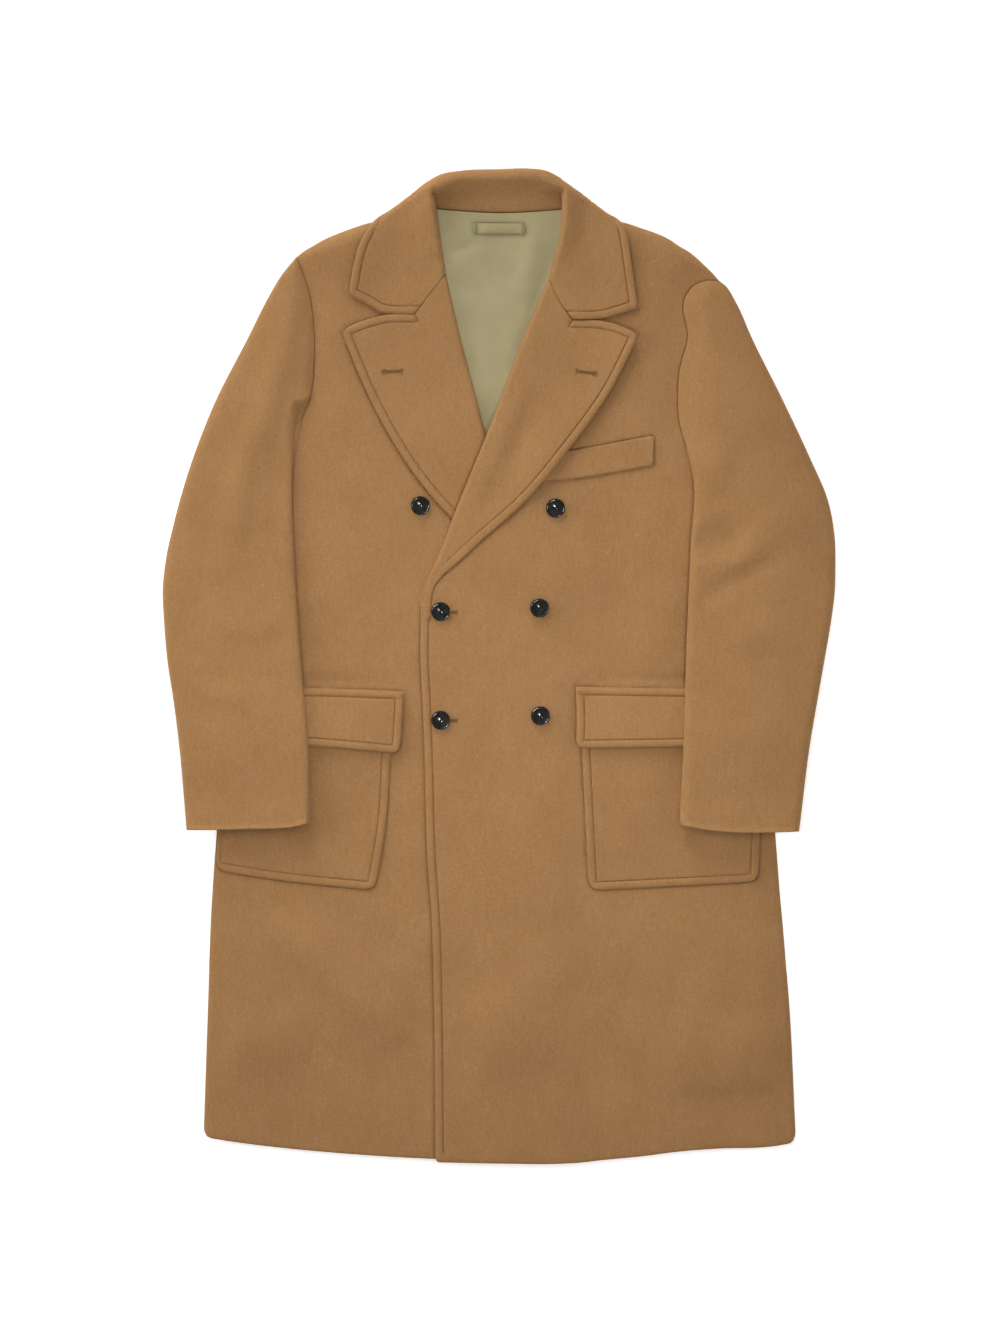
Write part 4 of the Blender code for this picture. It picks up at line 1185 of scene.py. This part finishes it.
def wool_panels() -> list[Panel]:
    """Panels of the coat from the bottom of the pile up."""
    swelled, rolled, tucked, plain, sewn, hidden = (partial(Edge, kind=kind) for kind in EdgeKind)
    panels = [
        Panel("back", [
            plain("hem_back"), tucked("-side_back_left"), hidden("-armhole_back_left"),
            tucked("-shoulder_left"), hidden("-neck_back"), tucked("shoulder_right"),
            hidden("armhole_back_right"), tucked("side_back_right")
        ], MELTON, 8, ["collar"], "melton", seams=["centre_back"], hollow=3.2),
        Panel("collar_stand", [
            hidden("stand_foot"), hidden("stand_top")
        ], MELTON, 3.5, ["collar"], "melton", bank=("stand_foot", 7.0, 42.0)),
        Panel("back_lining", [
            hidden("lining_foot"), hidden("lining_left"), hidden("-lining_neck"), hidden("lining_right")
        ], LINING, 4.0, ["back"], "lining", loft=2.4, nips=["hanger_loop"]),
        Panel("hanger_loop", [
            plain("loop_foot"), hidden("loop_left"), plain("loop_top"), hidden("loop_right")
        ], 1.5, 1.0, ["back_lining"], "lining"),
        Panel("front_right", [
            plain("hem_right"), hidden("front_right"), hidden("break_right"), hidden("neck_right"),
            rolled("shoulder_right", roll=8, closing=16), sewn("armhole_right"), hidden("underarm_right"),
            rolled("side_right", turn=3, roll=8)
        ], MELTON, 5.5, ["back", "back_lining"], "melton", loft=3.4,
            nips=["front_left", "lapel_right", "collar_end_right", "flap_right", "pocket_right",
                  "sleeve_inner_right"]),
        Panel("lapel_right", [
            sewn("-gorge_right"), swelled("-lapel_top_right", turn=12, lift=(0.2, 2.4)),
            swelled("-lapel_right", lift=(1.4, 0.4)), rolled("-roll_right", roll=4)
        ], DOUBLE, 4.5, ["front_right", "back_lining"], "melton", onto=["back_lining"], nips=["roll_left"],
            close="lapel_close_right"),
        Panel("front_left", [
            plain("hem_left", turn=3), rolled("-side_left", roll=8), hidden("-underarm_left"),
            sewn("-armhole_left"), rolled("-shoulder_left", roll=8, closing=16), hidden("-neck_left"),
            hidden("break_left"), swelled("front_left", turn=6, closing=70)
        ], MELTON, 5.5, ["back", "back_lining", "front_right", "lapel_right"], "melton", loft=3.4,
            nips=["lapel_left", "collar_end_left", "chest_welt", "flap_left", "pocket_left",
                  "sleeve_inner_left"]),
        Panel("chest_welt", [
            plain("welt_foot"), plain("welt_side", turn=5), plain("welt_top"), hidden("welt_lapel")
        ], MELTON, 4.0, ["front_left"], "melton"),
        Panel("lapel_left", [
            hidden("lapel_foot_left"), swelled("lapel_left", turn=12, lift=(0.2, 4.0)),
            swelled("lapel_top_left", lift=(2.4, 0.2)), sewn("gorge_left"), rolled("roll_left", roll=4)
        ], DOUBLE, 4.5, ["front_left", "chest_welt", "front_right", "lapel_right", "back_lining"], "melton",
            onto=["back_lining", "lapel_right", "front_right"], taper=(30, 300), close="lapel_close_left"),
        Panel("pocket_right", [
            swelled("patch_foot_right", turn=15), swelled("patch_front_right"), hidden("patch_mouth_right"),
            swelled("patch_side_right", turn=14, band=4.5)
        ], PATCH, 4.5, ["front_right"], "melton", groove=1.15),
        Panel("pocket_left", [
            swelled("patch_foot_left", turn=15), swelled("patch_side_left"), hidden("patch_mouth_left"),
            swelled("patch_front_left", turn=15)
        ], PATCH, 4.5, ["front_left"], "melton", groove=1.15),
        Panel("flap_right", [
            swelled("flap_foot_right", turn=13, lift=(2.4, 2.4)), swelled("flap_front_right"),
            swelled("flap_top_right", sunk=2.4, through=True), hidden("flap_side_right", turn=8)
        ], DOUBLE, 4.5, ["front_right", "pocket_right"], "melton"),
        Panel("flap_left", [
            swelled("flap_foot_left", turn=8, lift=(2.4, 2.4)), hidden("flap_side_left"),
            swelled("flap_top_left", sunk=2.4, through=True), swelled("flap_front_left", turn=13)
        ], DOUBLE, 4.5, ["front_left", "pocket_left"], "melton"),
    ]
    for hand in ("right", "left"):
        cuff, *folds = (f"cuff_{hand}", f"sleeve_outer_{hand}", f"armhole_{hand}", f"sleeve_inner_{hand}")
        beneath = [f"front_{hand}", f"pocket_{hand}", f"flap_{hand}"]
        panels.append(Panel(
            f"sleeve_under_{hand}", [plain(cuff)] + [tucked(name) for name in folds], MELTON, 5.5,
            ["back"] + beneath, "melton", hold=21.0, droop=(0.26, 0.05), free=[f"armhole_{hand}"],
            hollow=3.0))
        onto = (f"front_{hand}",)
        inner = {"right": [rolled("armhole_upper_right", roll=10, onto=onto, closing=54),
                           rolled("underarm_fold_right", roll=4, closing=12),
                           rolled("sleeve_fold_right", roll=3.5, closing=10)],
                 "left": [rolled("armhole_left", roll=22, onto=onto, closing=54),
                          rolled("sleeve_inner_left", roll=3.5, closing=10)]}[hand]
        outer = [plain(cuff, lift=(5.5, 4.0), lip=3.0), rolled(folds[0], roll=9, closing=84)]
        panels.append(Panel(f"sleeve_top_{hand}", outer + inner, MELTON, 5.0, [f"sleeve_under_{hand}"],
                            "melton", loft=2.4, crown=14.0))
    return panels


@dataclass
class Collar(Sheet):
    """Collar leaf in one piece: wings in front, crease behind the neck, fall under the back."""

    stand: Panel
    node: str = "collar"
    finish: str = "melton"
    layers: list[str] = field(default_factory=lambda: ["front_left", "front_right"])
    spacing: float = 4.0
    gorge_reach: float = 34.0   # how far from its seam the collar takes the lapel's level
    laid: float = 4.0           # least height of a place where a lapel lies, or a row of stitching
    seen_from: float = 6.0      # height above which a row of stitching isn't folded under
    spring_end: float = 515.0   # place along the coat where the spring of the ends stops
    spring_fade: float = 40.0
    seat_from: float = 506.0    # place along the coat where the stand begins to carry the collar
    seat_fade: float = 8.0
    behind: float = 500.0       # where the part behind the neck begins
    neck_half: float = 70.0
    neck_fade: float = 30.0
    fall_ends: float = 3.0      # width over which it comes down to its seam, and how much wider amid
    fall_middle: float = 15.0
    crease_air: float = 2.0
    crease_back: float = 12.0
    crest: float = 13.5         # rise of the roll line behind the neck
    crest_width: float = 26.0
    crest_ends: float = 0.8     # how bluntly that rise ends
    least: float = 0.25         # thickness that is left where the collar lies on the floor
    sink: float = 0.4           # how far its seam lies below the stand's outside
    lift: float = 2.0           # spring of the collar's free ends
    bends: tuple[float, ...] = (-8.0, -5.0, -2.0, 1.0, 4.0, 7.0, 10.0, 13.0, 16.0)
    roll: float = 5.0

    def __post_init__(self) -> None:
        """List the outline."""
        swelled, rolled, _, _, sewn, hidden = (partial(Edge, kind=kind) for kind in EdgeKind)
        self.edges = [sewn("gorge_right"), rolled("collar_roll_right"), hidden("collar_seam"),
                      rolled("collar_roll_left"), sewn("-gorge_left"), swelled("collar_end_left", turn=9),
                      swelled("collar_edge", turn=9), swelled("collar_end_right")]
        self.runs_on = ["collar_run_left", "collar_run_right"]
        self.stitched = ["collar_end_left", "collar_edge", "collar_end_right"] + self.runs_on

    def top(self, places: Points) -> Points:
        """Height of the collar's outside over the pile, before its neck edge is rolled down."""
        height = np.maximum(self.pile.at(self.rest, places) + SEAM, LEAF + self.crease_air) + LEAF
        level = self.pile.at(self.lapels, places)
        shared = fade(beside(places, *GORGES), self.gorge_reach)
        height = height + (level - height) * shared * (level > self.laid)
        away, share = distance(places, drawn("neck_crest"))
        height = height + self.crest * np.sin(np.pi * share) ** self.crest_ends * fade(away, self.crest_width)
        outer, _ = distance(places, drawn("collar_edge"))
        left, along = distance(places, drawn("collar_end_left"))
        right, back = distance(places, drawn("collar_end_right"))
        spring = np.maximum.reduce([1 - ease(outer / LIFT_REACH), along * fade(left, LIFT_REACH),
                                    (1 - back) * fade(right, LIFT_REACH)])
        return height + self.lift * spring * ease((self.spring_end - places[:, 1]) / self.spring_fade)

    def placed(self, points: Points) -> Points:
        """Places of flat collar points once the cloth beyond the crease is folded under."""
        crease = self.crease
        ends = np.array([crease[1] - crease[0], crease[-1] - crease[-2]])
        bearing = np.linspace(*(np.arctan2(ends[:, 1], ends[:, 0]) + 0.5 * math.pi), len(crease))
        outward = np.stack([np.cos(bearing), np.sin(bearing)], axis=1)
        gap = points[:, None] - crease[None]
        near = np.argmin(np.abs(gap[..., 0] * outward[:, 1] - gap[..., 1] * outward[:, 0]), axis=1)
        outward, start = outward[near], crease[near]
        beyond = ((points - start) * outward).sum(axis=1)
        slide = (points - start) - beyond[:, None] * outward
        radius = 0.5 * self.top(start - self.crease_back * outward)
        round_in = beyond + radius
        angle = np.clip(round_in / radius, 0.0, math.pi)
        out = np.minimum(beyond, -radius) + radius * np.sin(angle)
        out = out - np.maximum(round_in - math.pi * radius, 0.0)
        place = start + slide + out[:, None] * outward
        height = np.where(round_in < 0.0, self.top(place), radius * (1.0 + np.cos(angle)))
        return np.column_stack([place, height])

    def sunk(self, points: Points, places: Points) -> Points:
        """Places with the neck edge rolled down to the stand and to the lining."""
        seat = (self.stand.top(points) - self.sink) * ease((points[:, 1] - self.seat_from) / self.seat_fade)
        base = np.maximum(self.pile.at(self.neck, points) + THIN, seat)
        seam = distance(points, drawn("collar_seam"))[0]
        middle = ease((self.neck_half - np.abs(points[:, 0])) / self.neck_fade)
        fall = ease(seam / (self.fall_ends + self.fall_middle * middle))
        height = base + (places[:, 2] - base) * np.where(points[:, 1] > self.behind, fall, 1.0)
        for name in ("collar_roll_right", "collar_roll_left"):
            rise = quarter_round(beside(points, name) / self.roll)
            height = base + (height - base) * rise
        return np.column_stack([places[:, :2], height])

    def relief(self, points: Points) -> tuple[Points, Points]:
        """Depth of groove and edge rounding below the outside, and rounding of the inside."""
        edge = beside(points, *self.stitched)
        bend = 1 - quarter_round(edge / EDGE_ROUND)
        groove = GROOVE_DEPTH * fade(np.abs(edge - BAND), GROOVE_HALF)
        dome = DOME * np.sin(np.pi * np.clip(edge / BAND, 0.0, 1.0))
        seam = SEAM_DEPTH * fade(beside(points, *GORGES), SEAM_HALF)
        return groove - dome + ROUND_OVER * LEAF * bend + seam, ROUND_UNDER * LEAF * bend

    def shaped(self, points: Points) -> Points:
        """Places of the collar's outside, before its edges are finished."""
        return self.sunk(points, self.placed(points))

    def build(self, pile: Pile, outlines: dict[str, Points]) -> bpy.types.Object:
        """Cut, fold and lay the collar.

        Args:
            pile: The cloth laid so far.
            outlines: Outlines of all panels by name, none of which dents the collar; not used.

        Returns:
            The collar's object.
        """
        self.pile = pile
        self.loop = outline_of(self.edges)
        self.crease = drawn("silhouette")
        self.rest = pile.rest(["collar", "front_right", "front_left"], hold=12.0, droop=(0.10, 0.10))
        self.lapels = pile.rest(["lapel_right", "lapel_left"], hold=9.0, droop=(0.05, 0.05))
        self.neck = pile.rest(["back_lining"], hold=3.0, droop=ROLL_DROOP)
        rows = tuple(shifted(self.crease, offset) for offset in self.bends)
        rows += tuple(shifted(stretch(drawn(name), 0.0, BAND, CLOSE_POINTS), BAND + offset)
                      for name in self.runs_on for offset in GROOVE_ROWS)
        points, faces = cut_cloth(self.loop, FINE_INSETS, self.spacing, rows)
        places = self.shaped(points)
        corner = places[faces]
        across = np.cross(corner[:, 1] - corner[:, 0], corner[:, 2] - corner[:, 0])
        facing = np.zeros_like(places)
        for i in range(3):
            np.add.at(facing, faces[:, i], across)
        facing /= np.linalg.norm(facing, axis=1, keepdims=True)
        sunk, raised = self.relief(points)
        thick = np.minimum(LEAF, np.maximum(self.least, places[:, 2]))[:, None]
        inner = places - facing * (thick - raised[:, None])
        outer = places - facing * sunk[:, None]
        inner[:, 2] = np.maximum(inner[:, 2], 0.0)
        outer[:, 2] = np.maximum(outer[:, 2], 0.0)
        self.item = shell("collar_cloth", inner, outer, faces)
        return self.item

    def rows(self) -> list[Points]:
        """Rows of stitching inside the swelled edge, as places in space."""
        runs = []
        for name in self.stitched:
            line = shifted(drawn(name), BAND)
            line = stretch(line, 0.0, run_length(line)[-1], round(run_length(line)[-1]))
            gap = beside(line, *self.stitched)
            line = line[inside(line, self.loop) & (gap > BAND - STITCH_SLACK)]
            places = self.shaped(line)
            seen = places[:, 2] > self.seen_from
            if seen.sum() > LEAST_ROW:
                places[:, 2] -= self.relief(line)[0]
                runs.extend(part for part in np.split(places, np.flatnonzero(np.diff(seen.astype(int))) + 1)
                            if len(part) > LEAST_ROW and part[:, 2].min() > self.laid)
        return runs


@dataclass(frozen=True)
class Stitcher:
    """Lays rows of lockstitches, each a short spindle of thread half sunk in the cloth."""

    pitch: float = 3.9
    length: float = 3.0
    radius: float = 0.34
    sides: int = 5
    rise: float = 0.4           # how far it stands out of the cloth, over its radius
    shape: Marks = ((-0.5, 0.25), (-0.25, 0.9), (0.25, 0.9), (0.5, 0.25))   # places along it and girths

    def sew(self, name: str, runs: list[Points], finish: Finish,
            across_row: bool = False) -> bpy.types.Object:
        """Make one object of all stitches along some rows.

        Args:
            name: The new object's name.
            runs: Rows of places along the cloth's outside.
            finish: The thread.
            across_row: Whether each stitch stands across its row, as in a purl.

        Returns:
            The stitches.
        """
        turn = np.linspace(0.0, 2 * np.pi, self.sides, endpoint=False)
        verts: list[Points] = []
        faces: list[list[int]] = []
        for run in runs:
            total = run_length(run)[-1]
            half, count = 0.5 * self.pitch, max(2, round(total / self.pitch))
            middles = stretch(run, half, total - half, count)
            ahead = np.gradient(middles, axis=0)
            ahead /= np.linalg.norm(ahead, axis=1, keepdims=True)
            for middle, along in zip(middles, ahead):
                across = np.cross((0.0, 0.0, 1.0), along)
                across /= np.linalg.norm(across)
                if across_row:
                    along, across = across, -along
                up = np.cross(along, across)
                first = len(verts)
                for reach, girth in self.shape:
                    for angle in turn:
                        verts.append(middle + along * reach * self.length + (across * math.cos(angle) + up * (
                            math.sin(angle) + self.rise)) * girth * self.radius)
                for ring in range(len(self.shape) - 1):
                    for i in range(self.sides):
                        j = (i + 1) % self.sides
                        here = first + ring * self.sides
                        faces.append([here + i, here + j, here + self.sides + j, here + self.sides + i])
                last = first + (len(self.shape) - 1) * self.sides
                faces.append([first + i for i in reversed(range(self.sides))])
                faces.append([last + i for i in range(self.sides)])
        item = new_piece(name, np.array(verts), faces)
        item.data.materials.append(finish.material)
        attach(item, "root")
        return item


@dataclass(frozen=True)
class ButtonSpot:
    """Where a button is sewn and how far it is turned."""

    node: str
    x: float
    y: float
    layers: tuple[str, ...]
    turn: float


BUTTONS = (
    ButtonSpot("button_upper_right", -89, 181, ("front_right",), 20),
    ButtonSpot("button_upper_left", 64, 178, ("front_left",), 35),
    ButtonSpot("button_middle_right", -66, 61, ("front_left",), 70),
    ButtonSpot("button_middle_left", 46, 65, ("front_left",), 10),
    ButtonSpot("button_lower_right", -66, -62, ("front_left",), 50),
    ButtonSpot("button_lower_left", 47, -57, ("front_left",), 25),
)


@dataclass
class ButtonSet:
    """Dished four-hole buttons with their thread."""

    radius: float = 10.8
    height: float = 4.4
    dish: float = 1.8
    hole: float = 0.95
    hole_reach: float = 2.5     # of each hole from the middle, along the slant
    thread: float = 0.36
    thread_height: float = 3.2
    thread_sag: float = 0.9     # how far a strand goes down into its holes
    thread_apart: float = 0.4
    foot: float = 5.0           # radius of the ring that it rests on
    bite: float = 0.1           # how far it presses into the cloth
    base: float = 0.62          # width of the underside over that of the button
    sides: int = 56
    crisp: float = 38.0         # degrees at which two faces meet in a sharp edge

    def pick(self, item: bpy.types.Object, low: float) -> None:
        """Select the upward faces of an object above a height, and nothing else."""
        bpy.ops.object.mode_set(mode="OBJECT")
        for part in (item.data.vertices, item.data.edges, item.data.polygons):
            part.foreach_set("select", [False] * len(part))
        for face in item.data.polygons:
            middle = face.center
            face.select = face.normal.z > 0.9 and middle.z > low * MM and middle.xy.length < 0.1 * MM
        bpy.ops.object.mode_set(mode="EDIT")
        bpy.ops.mesh.select_mode(type="FACE")

    def model(self) -> bpy.types.Object:
        """Turn one button from a cylinder: rim, dish, back taper and holes.

        Returns:
            The button at the origin, on its foot.
        """
        bpy.ops.object.select_all(action="DESELECT")
        bpy.ops.mesh.primitive_cylinder_add(vertices=self.sides, radius=self.base * self.radius * MM,
                                            depth=1.0 * MM, location=(0.0, 0.0, 0.5 * MM))
        item = bpy.context.object
        bpy.ops.object.transform_apply(location=True)
        self.pick(item, 0.5)
        profile = [(self.base, 1.0), (0.95, 1.6), (1.0, 2.6), (0.985, 3.4), (0.95, 3.95), (0.9, 4.3),
                   (0.86, self.height)]
        for share in (0.8, 0.7, 0.58, 0.45, 0.32, 0.2, 0.1):
            profile.append((share, self.height - self.dish * (1 - (share / 0.84) ** 2)))
        for (wide, low), (width, high) in zip(profile, profile[1:]):
            bpy.ops.mesh.extrude_region_move(TRANSFORM_OT_translate={"value": (0.0, 0.0, (high - low) * MM)})
            grow = width / wide
            bpy.ops.transform.resize(value=(grow, grow, 1.0), center_override=(0.0, 0.0, high * MM))
        bpy.ops.object.mode_set(mode="OBJECT")
        cutters = []
        for sx, sy in ((-1, -1), (1, -1), (-1, 1), (1, 1)):
            bpy.ops.object.select_all(action="DESELECT")
            bpy.ops.mesh.primitive_cylinder_add(vertices=16, radius=self.hole * MM, depth=12 * MM, location=(
                sx * self.hole_reach * DIAGONAL * MM, sy * self.hole_reach * DIAGONAL * MM, 2.0 * MM))
            cutters.append(bpy.context.object)
        for cutter in cutters:
            bpy.context.view_layer.objects.active = item
            hole = item.modifiers.new("hole", "BOOLEAN")
            hole.operation = "DIFFERENCE"
            hole.object = cutter
            bpy.ops.object.modifier_apply(modifier="hole")
            bpy.data.objects.remove(cutter)
        bpy.ops.object.select_all(action="DESELECT")
        item.select_set(True)
        bpy.context.view_layer.objects.active = item
        bpy.ops.object.shade_smooth_by_angle(angle=math.radians(self.crisp))
        return item

    def thread_bars(self) -> bpy.types.Object:
        """Strands of thread that cross the dish from hole to hole, as one object at the origin."""
        strands = []
        reach = self.hole_reach * DIAGONAL
        for side in (-1, 1):
            for lean in (-self.thread_apart, self.thread_apart):
                bpy.ops.object.select_all(action="DESELECT")
                bpy.ops.mesh.primitive_cylinder_add(
                    vertices=8, radius=self.thread * MM, depth=2 * reach * MM,
                    rotation=(0.5 * math.pi, 0.0, 0.0),
                    location=((side * reach + lean) * MM, 0.0, self.thread_height * MM))
                bpy.ops.object.mode_set(mode="EDIT")
                bpy.ops.mesh.select_all(action="SELECT")
                bpy.ops.mesh.subdivide(number_cuts=3)
                bpy.ops.object.mode_set(mode="OBJECT")
                bpy.ops.object.transform_apply(location=True, rotation=True)
                for vertex in bpy.context.object.data.vertices:
                    vertex.co.z -= self.thread_sag * MM * (vertex.co.y / (reach * MM)) ** 4
                strands.append(bpy.context.object)
        bpy.ops.object.select_all(action="DESELECT")
        for strand in strands:
            strand.select_set(True)
        bpy.context.view_layer.objects.active = strands[0]
        bpy.ops.object.join()
        bpy.ops.object.shade_smooth()
        return strands[0]

    def build(self, pile: Pile, finishes: dict[str, Finish]) -> None:
        """Sew a button on each spot.

        Args:
            pile: The laid cloth that they sit on.
            finishes: The coat's materials by name.
        """
        button, thread = self.model(), self.thread_bars()
        for spot in BUTTONS:
            field_ = np.maximum.reduce([pile.tops[name] for name in spot.layers])
            ring = np.arange(0, 6.2, 0.5)
            around = np.stack([spot.x + self.foot * np.cos(ring), spot.y + self.foot * np.sin(ring)], axis=1)
            seat = float(pile.at(field_, around).max()) - self.bite
            place = Matrix.Translation((spot.x * MM, spot.y * MM, seat * MM))
            place = place @ Matrix.Rotation(math.radians(spot.turn), 4, "Z")
            for source, ending, finish in ((button, "horn", "horn"), (thread, "thread", "dark")):
                mesh = source.data.copy()
                mesh.transform(place)
                mesh.materials.append(finishes[finish].material)
                item = bpy.data.objects.new(f"{spot.node}_{ending}", mesh)
                bpy.context.scene.collection.objects.link(item)
                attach(item, "root")
                if finish == "horn":
                    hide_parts(spot.node)
            LOG.info("button %s seated at %.1f mm", spot.node, seat)
        for source in (button, thread):
            bpy.data.objects.remove(source)


@dataclass(frozen=True)
class Lamp:
    """Round soft light that looks at the origin, with its sizes in metres."""

    name: str
    place: tuple[float, float, float]
    size: float
    watts: float
    lights_cloth: bool = True
    shines: bool = True         # whether polished pieces mirror it


LAMPS = (
    Lamp("softbox_head", (-1.0, 3.6, 1.4), 2.2, 104.0, shines=False),
    Lamp("softbox_left", (-3.6, 0.8, 1.4), 2.2, 72.0, shines=False),
    Lamp("softbox_right", (3.6, 0.0, 1.8), 2.2, 27.0),
    Lamp("softbox_foot", (0.5, -3.6, 1.9), 2.2, 22.0),
    Lamp("key", (0.0, -0.04, 0.8), 0.7, 2.75, shines=False),
    Lamp("fill", (0.75, -0.85, 4.2), 0.9, 13.0),
    Lamp("glint_near", (0.42, -0.5, 4.2), 0.4, 26.0, lights_cloth=False),
    Lamp("glint_far", (-0.55, 0.4, 4.2), 0.34, 16.0, lights_cloth=False),
)


@dataclass(frozen=True)
class Studio:
    """Floor, light and camera."""

    frame_height: float = 1.514         # what the picture takes in from top to bottom, in metres
    centre: tuple[float, float] = (0.0011, -0.0017)
    half_angle: float = math.radians(7.0)
    film_height: float = 36.0           # in millimetres
    floor_size: float = 6.0
    floor_drop: float = 0.0004          # how far below the coat it lies
    floor_glow: float = 0.55
    sky: float = 0.115

    def set_up(self) -> None:
        """Make the floor, the lights and the camera."""
        scene = bpy.context.scene
        bpy.ops.object.select_all(action="DESELECT")
        bpy.ops.mesh.primitive_plane_add(size=self.floor_size, location=(0.0, 0.0, -self.floor_drop))
        floor = bpy.context.object
        floor.name = "floor"
        material = bpy.data.materials.new("pale_floor")
        material.use_nodes = True
        tree = material.node_tree
        feed(tree, tree.nodes["Principled BSDF"], {
            "Base Color": linear("#f6f6f5"), "Roughness": 0.9,
            "Emission Color": WHITE, "Emission Strength": self.floor_glow})
        floor.data.materials.append(material)
        world = bpy.data.worlds.new("studio")
        world.use_nodes = True
        feed(world.node_tree, world.node_tree.nodes["Background"], {"Color": WHITE, "Strength": self.sky})
        scene.world = world
        for lamp in LAMPS:
            light = bpy.data.lights.new(lamp.name, "AREA")
            light.shape = "DISK"
            light.size = lamp.size
            light.energy = lamp.watts
            item = bpy.data.objects.new(lamp.name, light)
            item.visible_camera = False
            item.visible_diffuse = lamp.lights_cloth
            item.visible_glossy = lamp.shines
            item.location = lamp.place
            item.rotation_euler = (-Vector(lamp.place)).to_track_quat("-Z", "Y").to_euler()
            scene.collection.objects.link(item)
        lens = bpy.data.cameras.new("camera")
        lens.sensor_fit = "VERTICAL"
        lens.sensor_height = self.film_height
        lens.lens = 0.5 * self.film_height / math.tan(self.half_angle)
        camera = bpy.data.objects.new("camera", lens)
        camera.location = (*self.centre, 0.5 * self.frame_height / math.tan(self.half_angle))
        scene.collection.objects.link(camera)
        scene.camera = camera
        scene.view_settings.view_transform = "Standard"


def main() -> None:
    """Build the coat from the floor up and set it in the studio."""
    logging.basicConfig(level=logging.INFO, format="%(name)s: %(message)s")
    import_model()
    finishes: dict[str, Finish] = {
        "melton": Melton(), "lining": LiningTwill(), "horn": Horn(),
        "camel": SewingThread(ThreadColour.CAMEL, "camel_wool"),
        "sage": SewingThread(ThreadColour.SAGE, "sage_lining"),
        "silk": SewingThread(ThreadColour.SILK, "camel_wool"),
        "dark": SewingThread(ThreadColour.DARK, "horn"),
    }
    pile = Pile()
    ground = np.array(FALL, float)
    pile.lay("collar", ground, lambda points: np.full(len(points), LEAF))
    stitcher = Stitcher()
    purl = Stitcher(pitch=0.8, length=2.3, radius=0.42)
    tack = Stitcher(pitch=0.8, length=3.6, radius=0.42)
    panels = wool_panels()
    stand = next(panel for panel in panels if panel.node == "collar_stand")
    outlines = {panel.node: outline_of(panel.edges) for panel in panels}
    outlines = {node: np.vstack([loop, loop[:1]]) for node, loop in outlines.items()}
    for piece in panels + [Collar(stand)]:
        item = piece.build(pile, outlines)
        runs = piece.rows()
        extras = [stitcher.sew(f"{piece.node}_stitching", runs, finishes["camel"])] if runs else []
        for hole in BUTTONHOLES:
            if hole.panel == piece.node:
                rows = [piece.over(run) for run in hole.runs()]
                extras.append(purl.sew(hole.name, rows, finishes["silk"], True))
        if piece.node == "hanger_loop":
            rows = [piece.over(curve_through(np.array(line), TACK_STEP)) for line in TACKS]
            extras.append(tack.sew("hanger_loop_tacks", rows, finishes["sage"], True))
        piece.dress(finishes, extras)
        LOG.info("%s: %d triangles, %d rows of stitching", item.name, len(item.data.polygons), len(runs))
    ButtonSet().build(pile, finishes)
    Studio().set_up()


if __name__ == "__main__":
    main()
